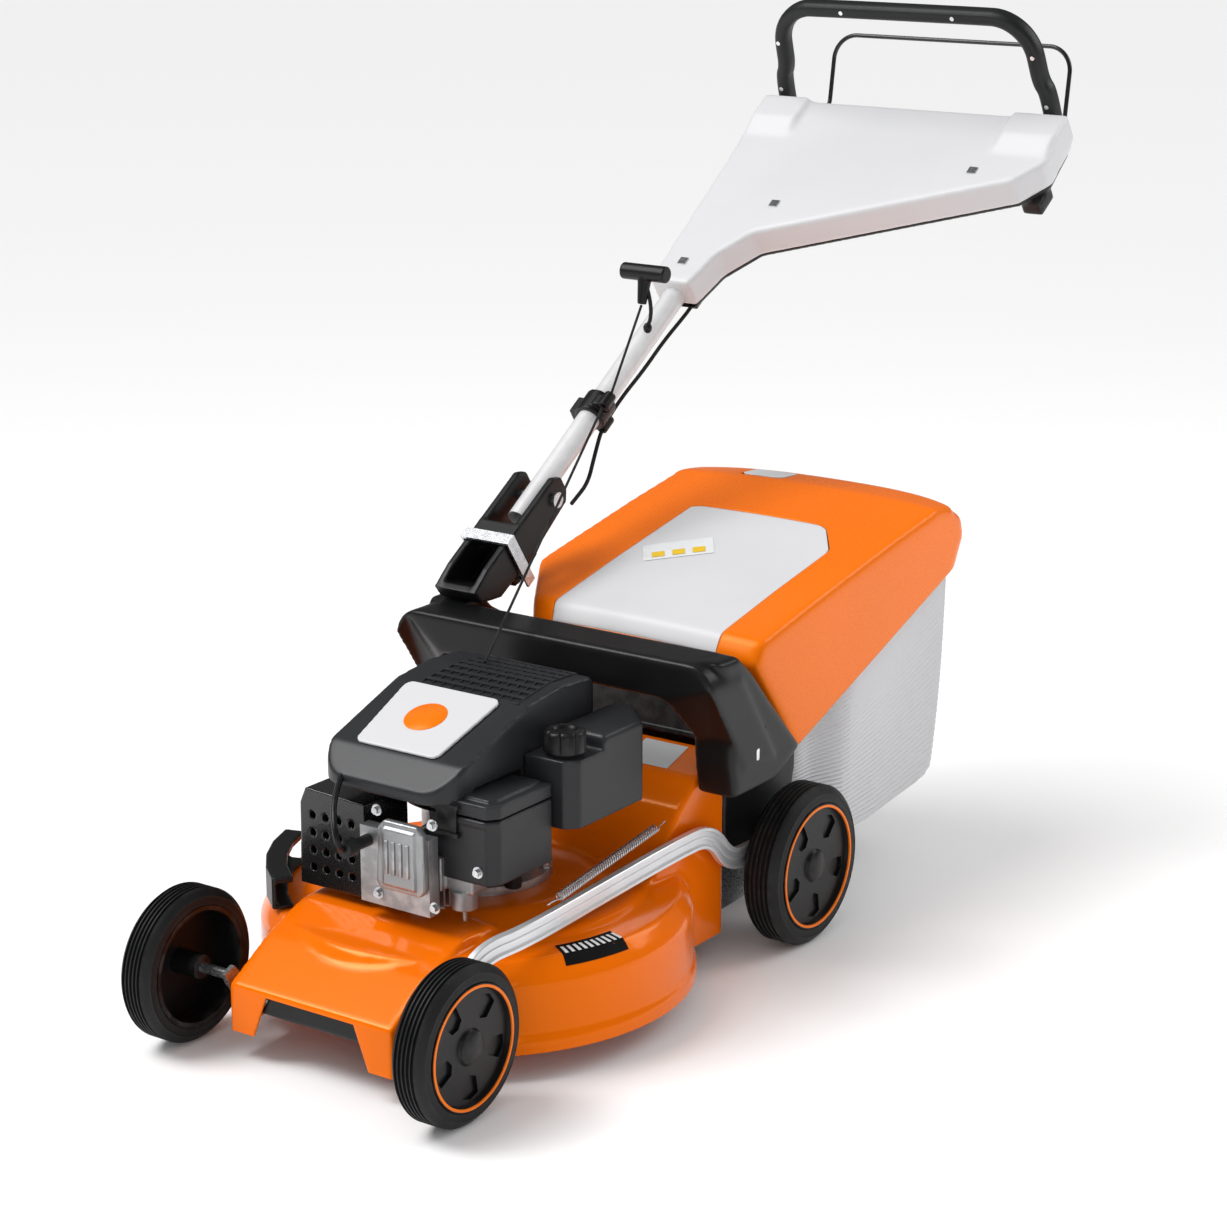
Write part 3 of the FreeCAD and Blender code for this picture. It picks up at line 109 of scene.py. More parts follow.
def makeGrainGroup():
    group, inside, outside = newGroup(
        "surfaceGrain",
        [("Scale", "Float", 400.0), ("Depth", "Float", 0.0001), ("Low", "Float", 0.4), ("High", "Float", 0.5)],
        [("Roughness", "Float"), ("Normal", "Vector")])
    noise = noiseIn(group, inside.outputs["Scale"])
    rough = rangeOf(group, noise.outputs["Fac"], 0.3, 0.7, inside.outputs["Low"], inside.outputs["High"])
    bump = addNode(group, "Bump")
    bump.inputs["Strength"].default_value = 1.0
    group.links.new(inside.outputs["Depth"], bump.inputs["Distance"])
    group.links.new(noise.outputs["Fac"], bump.inputs["Height"])
    group.links.new(rough, outside.inputs["Roughness"])
    group.links.new(bump.outputs["Normal"], outside.inputs["Normal"])
    return group


def makeMottleGroup():
    group, inside, outside = newGroup(
        "colourMottle",
        [("Colour", "Color", (1, 1, 1, 1)), ("Shade", "Color", (0.8, 0.8, 0.8, 1)), ("Scale", "Float", 8.0)],
        [("Colour", "Color")])
    noise = noiseIn(group, inside.outputs["Scale"], 4.0)
    factor = rangeOf(group, noise.outputs["Fac"], 0.35, 0.7)
    group.links.new(mixColour(group, factor, inside.outputs["Colour"], inside.outputs["Shade"]),
                    outside.inputs["Colour"])
    return group


def makeWearGroup():
    group, inside, outside = newGroup(
        "edgeWear",
        [("Colour", "Color", (1, 1, 1, 1)), ("Worn", "Color", (0.8, 0.8, 0.8, 1)), ("Amount", "Float", 0.3)],
        [("Colour", "Color")])
    geometry = addNode(group, "NewGeometry")
    edge = rangeOf(group, geometry.outputs["Pointiness"], 0.51, 0.58)
    scratch = rangeOf(group, noiseIn(group, 60.0).outputs["Fac"], 0.42, 0.6)
    product = addNode(group, "Math", operation="MULTIPLY")
    group.links.new(edge, product.inputs[0])
    group.links.new(scratch, product.inputs[1])
    scaled = addNode(group, "Math", operation="MULTIPLY")
    group.links.new(product.outputs[0], scaled.inputs[0])
    group.links.new(inside.outputs["Amount"], scaled.inputs[1])
    group.links.new(mixColour(group, scaled.outputs[0], inside.outputs["Colour"], inside.outputs["Worn"]),
                    outside.inputs["Colour"])
    return group


def makeSpangleGroup():
    group, inside, outside = newGroup(
        "zincSpangle",
        [("Colour", "Color", (1, 1, 1, 1)), ("Shade", "Color", (0.6, 0.6, 0.6, 1)), ("Scale", "Float", 180.0)],
        [("Colour", "Color")])
    coords = addNode(group, "TexCoord")
    cells = addNode(group, "TexVoronoi")
    group.links.new(coords.outputs["Object"], cells.inputs["Vector"])
    group.links.new(inside.outputs["Scale"], cells.inputs["Scale"])
    split = addNode(group, "SeparateColor")
    group.links.new(cells.outputs["Color"], split.inputs["Color"])
    group.links.new(mixColour(group, split.outputs[0], inside.outputs["Colour"], inside.outputs["Shade"]),
                    outside.inputs["Colour"])
    return group


def makeBraidGroup():
    group, inside, outside = newGroup("braidWeave", [("Scale", "Float", 500.0)],
                                      [("Height", "Float"), ("Normal", "Vector")])
    coords = addNode(group, "TexCoord")
    heights = []
    for turn in (0.7, -0.7):
        mapping = addNode(group, "Mapping")
        mapping.inputs["Rotation"].default_value = (0, turn, turn)
        wave = addNode(group, "TexWave", bands_direction="Z")
        group.links.new(coords.outputs["Object"], mapping.inputs["Vector"])
        group.links.new(mapping.outputs["Vector"], wave.inputs["Vector"])
        group.links.new(inside.outputs["Scale"], wave.inputs["Scale"])
        heights.append(wave.outputs["Fac"])
    top = addNode(group, "Math", operation="MAXIMUM")
    for place, height in enumerate(heights):
        group.links.new(height, top.inputs[place])
    bump = addNode(group, "Bump")
    bump.inputs["Distance"].default_value = 0.0003
    group.links.new(top.outputs[0], bump.inputs["Height"])
    group.links.new(top.outputs[0], outside.inputs["Height"])
    group.links.new(bump.outputs["Normal"], outside.inputs["Normal"])
    return group


grainGroup = makeGrainGroup()
mottleGroup = makeMottleGroup()
wearGroup = makeWearGroup()
spangleGroup = makeSpangleGroup()
braidGroup = makeBraidGroup()


# Finishes

finishTable = {
    "orange_steel": {
        "colour": (0.90, 0.160, 0.001), "shade": 0.93, "worn": (0.9, 0.2, 0.02), "wear": 0.2, "mottle": 3.0,
        "grain": 180.0, "depth": 0.00003, "rough": (0.14, 0.2),
        "shader": {"Coat Weight": 0.1, "Coat Roughness": 0.04, "Specular Tint": (1, 0.42, 0.06, 1)}},
    "orange_plastic": {
        "colour": (0.92, 0.172, 0.001), "shade": 0.95, "worn": (0.97, 0.3, 0.03), "wear": 0.15, "mottle": 4.0,
        "grain": 900.0, "depth": 0.00003, "rough": (0.24, 0.34),
        "shader": {"Coat Weight": 0.06, "Coat Roughness": 0.12, "Specular Tint": (1, 0.45, 0.08, 1)}},
    "white_plastic": {
        "colour": (0.64, 0.64, 0.655), "shade": 0.95, "worn": (0.8, 0.8, 0.8), "wear": 0.2, "mottle": 5.0,
        "grain": 1100.0, "depth": 0.00005, "rough": (0.34, 0.46), "shader": {"Specular IOR Level": 0.5}},
    "black_plastic": {
        "colour": (0.006, 0.0062, 0.0066), "shade": 0.7, "worn": (0.05, 0.05, 0.05), "wear": 0.5, "mottle": 14.0,
        "grain": 1300.0, "depth": 0.0001, "rough": (0.3, 0.42), "shader": {"Specular IOR Level": 0.3}},
    "dark_plastic": {
        "colour": (0.021, 0.022, 0.0245), "shade": 0.85, "worn": (0.1, 0.1, 0.105), "wear": 0.45, "mottle": 12.0,
        "grain": 1200.0, "depth": 0.00012, "rough": (0.32, 0.44), "shader": {"Specular IOR Level": 0.34}},
    "tyre_rubber": {
        "colour": (0.0095, 0.0098, 0.0102), "shade": 1.35, "worn": (0.05, 0.05, 0.05), "wear": 0.35, "mottle": 22.0,
        "grain": 700.0, "depth": 0.0002, "rough": (0.46, 0.62), "shader": {"Specular IOR Level": 0.26}},
    "grip_rubber": {
        "colour": (0.013, 0.014, 0.014), "shade": 0.75, "worn": (0.04, 0.04, 0.04), "wear": 0.3, "mottle": 18.0,
        "grain": 1000.0, "depth": 0.0002, "rough": (0.32, 0.46), "shader": {"Specular IOR Level": 0.3}},
    "cast_aluminium": {
        "colour": (0.42, 0.43, 0.44), "shade": 0.78, "worn": (0.7, 0.7, 0.7), "wear": 0.5, "mottle": 20.0,
        "grain": 650.0, "depth": 0.0003, "rough": (0.34, 0.5), "shader": {"Metallic": 0.85}},
    "silver_tube": {
        "colour": (0.66, 0.66, 0.67), "shade": 0.93, "worn": (0.8, 0.8, 0.8), "wear": 0.2, "mottle": 6.0,
        "grain": 900.0, "depth": 0.00003, "rough": (0.25, 0.35),
        "shader": {"Coat Weight": 0.4, "Coat Roughness": 0.12}},
    "zinc_steel": {
        "colour": (0.66, 0.67, 0.69), "shade": 0.84, "worn": (0.85, 0.85, 0.85), "wear": 0.3, "mottle": 170.0,
        "spangle": True, "grain": 500.0, "depth": 0.00006, "rough": (0.22, 0.36), "shader": {"Metallic": 0.95}},
    "black_steel": {
        "colour": (0.009, 0.009, 0.0095), "shade": 0.8, "worn": (0.05, 0.05, 0.05), "wear": 0.1, "mottle": 20.0,
        "grain": 600.0, "depth": 0.00008, "rough": (0.2, 0.32),
        "shader": {"Specular IOR Level": 0.5, "Coat Weight": 0.25}},
    "dark_iron": {
        "colour": (0.14, 0.14, 0.14), "shade": 0.7, "worn": (0.35, 0.34, 0.33), "wear": 0.5, "mottle": 30.0,
        "grain": 500.0, "depth": 0.0002, "rough": (0.4, 0.6), "shader": {"Metallic": 0.8}},
    "rope": {
        "colour": (0.01, 0.01, 0.01), "shade": 1.8, "worn": (0.05, 0.05, 0.05), "wear": 0.2, "mottle": 60.0,
        "braid": 420.0, "grain": 900.0, "depth": 0.0001, "rough": (0.55, 0.75),
        "shader": {"Specular IOR Level": 0.35}},
    "bright_zinc": {
        "colour": (0.80, 0.81, 0.83), "shade": 0.9, "worn": (0.95, 0.95, 0.95), "wear": 0.2, "mottle": 14.0,
        "grain": 700.0, "depth": 0.00003, "rough": (0.3, 0.4), "shader": {"Metallic": 0.7}},
    "chrome": {
        "colour": (0.75, 0.76, 0.78), "shade": 0.85, "worn": (0.9, 0.9, 0.9), "wear": 0.2, "mottle": 90.0,
        "grain": 400.0, "depth": 0.00003, "rough": (0.1, 0.2), "shader": {"Metallic": 1.0}},
    # Near-black matte: printed ground of the height scale, and painted shade in the grille openings and the casing
    # slot.
    "print_and_shade_black": {
        "colour": (0.004, 0.004, 0.004), "shade": 0.6, "worn": (0.01, 0.01, 0.01), "wear": 0.1, "mottle": 30.0,
        "grain": 900.0, "depth": 0.0001, "rough": (0.6, 0.8), "shader": {"Specular IOR Level": 0.2}},
    "label_yellow": {
        "colour": (0.80, 0.52, 0.02), "shade": 0.93, "worn": (0.85, 0.7, 0.2), "wear": 0.1, "mottle": 40.0,
        "grain": 1500.0, "depth": 0.00002, "rough": (0.3, 0.4), "shader": {"Specular IOR Level": 0.5}},
    "pale_label": {
        "colour": (0.74, 0.75, 0.76), "shade": 0.93, "worn": (0.8, 0.8, 0.8), "wear": 0.1, "mottle": 40.0,
        "grain": 1500.0, "depth": 0.00002, "rough": (0.3, 0.4), "shader": {"Specular IOR Level": 0.5}},
}


def makeFinish(name, look):
    material = bpy.data.materials.new(name + "_finish")
    material.use_nodes = True
    tree = material.node_tree
    shader = tree.nodes["Principled BSDF"]
    for label, value in look["shader"].items():
        shader.inputs[label].default_value = value
    base = look["colour"]
    shade = [min(1.0, part * look["shade"]) for part in base]
    mottle = addNode(tree, "Group", node_tree=spangleGroup if look.get("spangle") else mottleGroup)
    mottle.inputs["Colour"].default_value = (*base, 1)
    mottle.inputs["Shade"].default_value = (*shade, 1)
    mottle.inputs["Scale"].default_value = look["mottle"]
    wear = addNode(tree, "Group", node_tree=wearGroup)
    wear.inputs["Worn"].default_value = (*look["worn"], 1)
    wear.inputs["Amount"].default_value = look["wear"]
    tree.links.new(mottle.outputs["Colour"], wear.inputs["Colour"])
    tree.links.new(wear.outputs["Colour"], shader.inputs["Base Color"])
    grain = addNode(tree, "Group", node_tree=grainGroup)
    grain.inputs["Scale"].default_value = look["grain"]
    grain.inputs["Depth"].default_value = look["depth"]
    grain.inputs["Low"].default_value, grain.inputs["High"].default_value = look["rough"]
    tree.links.new(grain.outputs["Roughness"], shader.inputs["Roughness"])
    normal = grain.outputs["Normal"]
    if "braid" in look:
        braid = addNode(tree, "Group", node_tree=braidGroup)
        braid.inputs["Scale"].default_value = look["braid"]
        normal = braid.outputs["Normal"]
    tree.links.new(normal, shader.inputs["Normal"])
    return material


finishes = {name: makeFinish(name, look) for name, look in finishTable.items()}
for name, node in nodes.items():
    for holder in node.material_slots:
        holder.material = finishes[slotOf[name]]
    if not node.material_slots:
        node.data.materials.append(finishes[slotOf[name]])
print("finishes made")


# Building helpers

def addPiece(bm, name, body, slotName, replaces=(), finish=None, smooth=40, recalc=False):
    if recalc:
        bmesh.ops.recalc_face_normals(bm, faces=bm.faces)
    mesh = bpy.data.meshes.new(name)
    bm.to_mesh(mesh)
    bm.free()
    piece = bpy.data.objects.new(name, mesh)
    scene.collection.objects.link(piece)
    mesh.materials.append(finishes[finish or slotName])
    mesh.shade_smooth()
    mesh.set_sharp_from_angle(angle=math.radians(smooth))
    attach(piece, body)
    if replaces:
        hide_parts(*replaces)
    return piece


def thicken(piece, wall, offset=-1.0):
    shell = piece.modifiers.new("wall", "SOLIDIFY")
    shell.thickness = wall
    shell.offset = offset
    return piece


def prism(bm, outline, low, high, axis="X"):
    place = {"X": lambda a, b: (low, a, b), "Y": lambda a, b: (a, low, b), "Z": lambda a, b: (a, b, low)}[axis]
    face = bm.faces.new([bm.verts.new(place(*point)) for point in outline])
    grown = bmesh.ops.extrude_face_region(bm, geom=[face])["geom"]
    shift = Vector((high - low if axis == letter else 0 for letter in "XYZ"))
    bmesh.ops.translate(bm, verts=[item for item in grown if isinstance(item, bmesh.types.BMVert)], vec=shift)
    return bm


def spun(bm, profile, centre, axis, steps=128, closed=False):
    verts = [bm.verts.new(point) for point in profile]
    edges = [bm.edges.new(pair) for pair in zip(verts, verts[1:])]
    if closed:
        edges.append(bm.edges.new((verts[-1], verts[0])))
    bmesh.ops.spin(bm, geom=verts + edges, cent=centre, axis=axis, dvec=(0, 0, 0), angle=math.tau, steps=steps,
                   use_merge=True, use_duplicate=False)
    bmesh.ops.remove_doubles(bm, verts=bm.verts, dist=1e-6)
    bmesh.ops.recalc_face_normals(bm, faces=bm.faces)
    return bm


def nodeCopy(name):
    bm = bmesh.new()
    bm.from_mesh(nodes[name].data)
    bmesh.ops.remove_doubles(bm, verts=bm.verts, dist=1e-5)
    return bm


def blended(source, voxel, rounds, factor=0.5):
    bmesh.ops.recalc_face_normals(source, faces=source.faces)
    mesh = bpy.data.meshes.new("blend_form")
    source.to_mesh(mesh)
    source.free()
    form = bpy.data.objects.new("blend_form", mesh)
    scene.collection.objects.link(form)
    remesh = form.modifiers.new("remesh", "REMESH")
    remesh.mode = "VOXEL"
    remesh.voxel_size = voxel
    bm = bmesh.new()
    bm.from_object(form, bpy.context.evaluated_depsgraph_get())
    bpy.data.objects.remove(form)
    for step in range(rounds):
        bmesh.ops.smooth_vert(bm, verts=bm.verts, factor=factor, use_axis_x=True, use_axis_y=True, use_axis_z=True)
    return bm


def trim(bm, point, normal, chosen=None):
    faces = bm.faces if chosen is None else [face for face in bm.faces if chosen(face)]
    geom = {item for face in faces for item in (face, *face.edges, *face.verts)}
    bmesh.ops.bisect_plane(bm, geom=list(geom), dist=1e-6, plane_co=point, plane_no=normal,
                           clear_outer=chosen is None, clear_inner=False)


def planesOf(outline, axis="Z"):
    planes = []
    for (a, b), (c, d) in zip(outline, outline[1:] + outline[:1]):
        across = Vector((d - b, a - c)).normalized()
        if axis == "Z":
            planes.append((Vector((a, b, 0)), Vector((across.x, across.y, 0))))
        elif axis == "Y":
            planes.append((Vector((a, 0, b)), Vector((across.x, 0, across.y))))
        else:
            planes.append((Vector((0, a, b)), Vector((0, across.x, across.y))))
    return planes


def isInside(point, planes):
    return all((point - spot).dot(normal) < 1e-6 for spot, normal in planes)


def cutHole(bm, planes, chosen):
    for spot, normal in planes:
        trim(bm, spot, normal, chosen)
    inside = [face for face in bm.faces if chosen(face) and isInside(face.calc_center_median(), planes)]
    bmesh.ops.delete(bm, geom=inside, context="FACES")


def keepInside(bm, planes):
    for spot, normal in planes:
        trim(bm, spot, normal)


def roundedOutline(corners, radii, steps=6):
    outline = []
    for place, (corner, radius) in enumerate(zip(corners, radii)):
        here = Vector(corner)
        back = (Vector(corners[place - 1]) - here).normalized()
        ahead = (Vector(corners[(place + 1) % len(corners)]) - here).normalized()
        half = back.angle(ahead) / 2
        centre = here + (back + ahead).normalized() * (radius / math.sin(half))
        reach = radius / math.tan(half)
        start = here + back * reach - centre
        stop = here + ahead * reach - centre
        turn = math.atan2(start.x * stop.y - start.y * stop.x, start.dot(stop))
        for step in range(steps + 1):
            spot = centre + Matrix.Rotation(turn * step / steps, 2) @ start
            outline.append((spot.x, spot.y))
    return outline


def bevelled(bm, width, segments=2, limit=30):
    sharp = [edge for edge in bm.edges if len(edge.link_faces) == 2
             and edge.calc_face_angle(0) > math.radians(limit)]
    bmesh.ops.bevel(bm, geom=sharp, offset=width, offset_type="OFFSET", affect="EDGES", segments=segments,
                    profile=0.5, material=-1, clamp_overlap=True)
    return bm


def sweep(name, points, section, cyclic=False, order=3, upright=False):
    curve = bpy.data.curves.new(name + "_path", "CURVE")
    curve.dimensions = "3D"
    curve.resolution_u = 12
    spline = curve.splines.new("NURBS")
    spline.points.add(len(points) - 1)
    for place, point in zip(spline.points, points):
        place.co = (*point, 1)
    spline.order_u = order
    spline.use_endpoint_u = not cyclic
    spline.use_cyclic_u = cyclic
    curve.use_fill_caps = True
    curve.twist_mode = "Z_UP" if upright else "MINIMUM"
    profile = None
    if isinstance(section, float):
        curve.bevel_depth = section
        curve.bevel_resolution = 4
    else:
        outline = bpy.data.curves.new(name + "_section", "CURVE")
        ring = outline.splines.new("POLY")
        ring.points.add(len(section) - 1)
        for place, (across, up) in zip(ring.points, section):
            place.co = (across, up, 0, 1)
        ring.use_cyclic_u = True
        profile = bpy.data.objects.new(name + "_section", outline)
        scene.collection.objects.link(profile)
        curve.bevel_mode = "OBJECT"
        curve.bevel_object = profile
    path = bpy.data.objects.new(name + "_path", curve)
    scene.collection.objects.link(path)
    bpy.context.view_layer.update()
    mesh = bpy.data.meshes.new_from_object(path.evaluated_get(bpy.context.evaluated_depsgraph_get()))
    bm = bmesh.new()
    bm.from_mesh(mesh)
    bmesh.ops.remove_doubles(bm, verts=bm.verts, dist=1e-6)
    bmesh.ops.recalc_face_normals(bm, faces=bm.faces)
    bpy.data.objects.remove(path)
    if profile:
        bpy.data.objects.remove(profile)
    bpy.data.meshes.remove(mesh)
    return bm


def treeOf(name):
    return BVHTree.FromObject(bpy.data.objects[name], bpy.context.evaluated_depsgraph_get())


def draped(bm, tree, lift, direction=(0, 0, -1)):
    along = Vector(direction)
    for vert in bm.verts:
        hit = tree.ray_cast(vert.co - along * 0.15, along)[0]
        if hit:
            vert.co = hit - along * lift
    return bm


def plate(bm, middle, size, turn=0.0, rows=6):
    made = bmesh.ops.create_grid(bm, x_segments=rows, y_segments=rows, size=0.5)["verts"]
    spin = Matrix.Rotation(math.radians(turn), 3, "Z")
    for vert in made:
        vert.co = Vector(middle) + spin @ Vector((vert.co.x * size[0], vert.co.y * size[1], 0))
    return made


def screwHead(bm, spot, direction, radius, height):
    turn = Vector(direction).to_track_quat("Z", "Y").to_matrix().to_4x4()
    head = Matrix.Translation(Vector(spot) + Vector(direction) * height / 2) @ turn
    bmesh.ops.create_cone(bm, cap_ends=True, segments=6, radius1=radius, radius2=radius * 0.92, depth=height,
                          matrix=head)
    washer = Matrix.Translation(Vector(spot) + Vector(direction) * height * 0.12) @ turn
    bmesh.ops.create_cone(bm, cap_ends=True, segments=24, radius1=radius * 1.5, radius2=radius * 1.45,
                          depth=height * 0.24, matrix=washer)


# Camera, light and floor

cameraLook = {"place": (2.0216, -2.5895, 1.3896), "toward": (-0.5554, 0.7871, -0.2683), "lens": 87.74}
camera = bpy.data.objects.new("camera", bpy.data.cameras.new("camera"))
camera.data.lens = cameraLook["lens"]
camera.data.sensor_width = 36
camera.location = cameraLook["place"]
camera.rotation_mode = "QUATERNION"
camera.rotation_quaternion = Vector(cameraLook["toward"]).to_track_quat("-Z", "Y")
scene.collection.objects.link(camera)
scene.camera = camera
scene.view_settings.view_transform = "Standard"

studioLights = {
    "key": {"kind": "AREA", "place": (-1.5, -1.3, 2.5), "size": 1.1, "power": 30},
    "rim": {"kind": "AREA", "place": (1.6, 2.2, 2.0), "size": 1.3, "power": 18},
    "front": {"kind": "AREA", "place": (2.3, -2.0, 1.0), "size": 0.9, "power": 6},
    "sun": {"kind": "SUN", "place": (-1.4, -0.7, 3.0), "size": 0.6, "power": 1.5},
}
for name, lamp in studioLights.items():
    light = bpy.data.lights.new(name, lamp["kind"])
    if lamp["kind"] == "AREA":
        light.size = lamp["size"]
    else:
        light.angle = lamp["size"]
    light.energy = lamp["power"]
    holder = bpy.data.objects.new(name + "_light", light)
    holder.location = lamp["place"]
    holder.rotation_mode = "QUATERNION"
    holder.rotation_quaternion = (Vector((0, 0.2, 0.3)) - Vector(lamp["place"])).to_track_quat("-Z", "Y")
    scene.collection.objects.link(holder)

world = bpy.data.worlds.new("studio")
scene.world = world
world.use_nodes = True
sky = world.node_tree
skyShader = sky.nodes["Background"]
skyShader.inputs["Color"].default_value = (1, 1, 1, 1)
skyShader.inputs["Strength"].default_value = 0.6
seen = sky.nodes.new("ShaderNodeBackground")
seen.inputs["Color"].default_value = (1, 1, 1, 1)
seen.inputs["Strength"].default_value = 1.0
path = sky.nodes.new("ShaderNodeLightPath")
pick = sky.nodes.new("ShaderNodeMixShader")
sky.links.new(path.outputs["Is Camera Ray"], pick.inputs[0])
sky.links.new(skyShader.outputs[0], pick.inputs[1])
sky.links.new(seen.outputs[0], pick.inputs[2])
dim = sky.nodes.new("ShaderNodeBackground")
dim.inputs["Color"].default_value = (1, 1, 1, 1)
dim.inputs["Strength"].default_value = 0.13
soften = sky.nodes.new("ShaderNodeMixShader")
sky.links.new(path.outputs["Is Glossy Ray"], soften.inputs[0])
sky.links.new(pick.outputs[0], soften.inputs[1])
sky.links.new(dim.outputs[0], soften.inputs[2])
sky.links.new(soften.outputs[0], sky.nodes["World Output"].inputs["Surface"])

floorForm = bmesh.new()
bmesh.ops.create_grid(floorForm, x_segments=1, y_segments=1, size=30)
floorMesh = bpy.data.meshes.new("floor")
floorForm.to_mesh(floorMesh)
floorForm.free()
floor = bpy.data.objects.new("floor", floorMesh)
scene.collection.objects.link(floor)
floorFinish = bpy.data.materials.new("floor_finish")
floorFinish.use_nodes = True
floorFinish.node_tree.nodes["Principled BSDF"].inputs["Base Color"].default_value = (0.97, 0.97, 0.97, 1)
floorFinish.node_tree.nodes["Principled BSDF"].inputs["Roughness"].default_value = 0.6
floorFinish.node_tree.nodes["Principled BSDF"].inputs["Specular IOR Level"].default_value = 0.2
floorMesh.materials.append(floorFinish)
print("studio ready")


# Deck

deckLook = {
    "flare": 0.004, "rimHigh": 0.015, "shoulderLow": 0.116, "shoulderHigh": 0.136, "crown": 0.1435, "seat": 0.155,
    "seatRadius": 0.128, "noseHalf": 0.117, "noseLip": 0.088, "noseCrest": 0.128, "mouthHalf": 0.087,
    "wall": 0.0026, "voxel": 0.0034, "smoothing": 3, "below": 0.014,
}


def buildDeck(look):
    low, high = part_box("deck")
    radius = high.x - look["flare"]
    floorLevel = low.z
    base = floorLevel - look["below"]
    front = low.y
    rear = high.y
    top = high.z
    ledge = floorLevel + look["rimHigh"]
    pan = bmesh.new()
    spun(pan, [(x, 0, z) for x, z in (
        (0, base), (radius + look["flare"], base), (radius + look["flare"], ledge), (radius, ledge + 0.004),
        (radius, look["shoulderLow"] - 0.004), (radius - 0.004, look["shoulderLow"] + 0.004),
        (radius - 0.016, look["shoulderHigh"]), (radius - 0.052, look["shoulderHigh"] + 0.003),
        (radius - 0.062, look["crown"] + 0.001), (look["seatRadius"] + 0.03, look["crown"] + 0.004),
        (look["seatRadius"], look["seat"]), (0, look["seat"]))], (0, 0, 0), (0, 0, 1), 160)
    prism(pan, [(front, base), (front, look["noseLip"]), (-0.236, look["noseCrest"]),
                (-0.176, look["seat"] - 0.003),
                (-0.12, look["seat"] - 0.002), (-0.12, base)], -look["noseHalf"], look["noseHalf"])
    half = 0.172
    prism(pan, [(0.06, base), (rear, base), (rear, top), (0.205, top - 0.018), (0.168, top - 0.046),
                (0.134, top - 0.084), (0.116, look["seat"] - 0.006), (0.06, look["seat"] - 0.02)], -half, half)
    bm = blended(pan, look["voxel"], look["smoothing"])
    trim(bm, (0, 0, floorLevel), (0, 0, -1))
    mouthTop = look["noseLip"] - 0.005
    slope = look["mouthHalf"] - 0.024
    mouth = planesOf([(-look["mouthHalf"], floorLevel - 0.01), (look["mouthHalf"], floorLevel - 0.01),
                      (slope, mouthTop),
                      (-slope, mouthTop)], "Y")
    cutHole(bm, mouth, lambda face: face.calc_center_median().y < front + 0.012)
    exitWay = planesOf([(-0.16, 0.122), (0.16, 0.122), (0.16, top - 0.016), (-0.16, top - 0.016)], "Y")
    cutHole(bm, exitWay, lambda face: face.calc_center_median().y > rear - 0.01)
    return thicken(addPiece(bm, "deck_shell", "chassis", "orange_steel", ["deck"], smooth=50), look["wall"])


buildDeck(deckLook)
print("deck built")


# Grass catcher

hoodLook = {
    "corner": -0.126, "notchFront": 0.278, "notchRear": 0.398, "crown": 0.010, "sweep": 0.040, "wall": 0.0026,
    "voxel": 0.0038, "smoothing": 12, "windowHalf": 0.144, "windowRear": 0.606, "gap": 0.0012, "flapGap": 0.0032,
    "flap": ((-0.112, 0.724), (-0.042, 0.774)), "cornerCut": 0.062, "windowNose": 0.1, "notchSide": -0.104,
    "notchY": (0.296, 0.408), "window": 0.37, "ridge": 0.44, "sweepStart": 0.70,
    "profile": [(0.392, 0.22), (0.800, 0.372), (0.828, 0.424), (0.820, 0.450), (0.782, 0.470), (0.720, 0.474),
                (0.600, 0.454), (0.420, 0.420), (0.296, 0.394), (0.281, 0.368)],
}
# The sloping rim where the hood meets the bag.
rimLook = {"front": 0.396, "high": 0.248, "slope": 0.3712, "hoodLow": 0.2505, "normal": (0, 0.3480, -0.9375)}


def rimHeight(y):
    return rimLook["high"] + (y - rimLook["front"]) * rimLook["slope"]


def hoodSurface(look, rise):
    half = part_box("hood")[1].x + rise
    form = bmesh.new()
    prism(form, look["profile"], -half, half)
    bmesh.ops.recalc_face_normals(form, faces=form.faces)
    corner = Vector((look["corner"], look["notchFront"], 0))
    along = Vector((-half - look["corner"], look["notchRear"] - look["notchFront"], 0)).normalized()
    cut = bmesh.ops.bisect_plane(form, geom=form.verts[:] + form.edges[:] + form.faces[:], plane_co=corner,
                                 plane_no=(along.y, -along.x, 0), clear_inner=True, clear_outer=False)
    bmesh.ops.edgenet_fill(form, edges=[item for item in cut["geom_cut"] if isinstance(item, bmesh.types.BMEdge)])
    bm = blended(form, look["voxel"], look["smoothing"])
    for vert in bm.verts:
        share = min(1.0, abs(vert.co.x) / half)
        lift = max(0.0, min(1.0, (vert.co.z - rimHeight(vert.co.y)) / 0.06))
        backward = max(0.0, min(1.0, (vert.co.y - look["sweepStart"]) / 0.1))
        vert.co.z += look["crown"] * (1 - share ** 2) * lift * 0.6 + rise * lift
        vert.co.y -= look["sweep"] * share ** 4 * backward
    return bm


def windowPlanes(look, inset):
    half = look["windowHalf"] - inset
    rear = look["windowRear"] - inset
    nose, cut = look["windowNose"], look["cornerCut"]
    side = look["notchSide"] + inset
    front, back = look["notchY"]
    corners = [(half, 0.2), (half, rear - cut), (nose, rear), (-nose, rear), (-half, rear - cut),
               (-half, back + inset),
               (side, front), (side, 0.2)]
    return planesOf(roundedOutline(corners, [0.004] + [0.03] * 6 + [0.004], 4))


def flapPlanes(look, inset):
    low, high = look["flap"]
    corners = [(high[0] - inset, low[1] + inset), (high[0] - inset, high[1] - inset),
               (low[0] + inset, high[1] - inset), (low[0] + inset, low[1] + inset)]
    return planesOf(roundedOutline(corners, [0.012, 0.004, 0.004, 0.012], 4))


def facesAbove(height):
    def chosen(face):
        return face.normal.z > 0.2 and face.calc_center_median().z > height
    return chosen


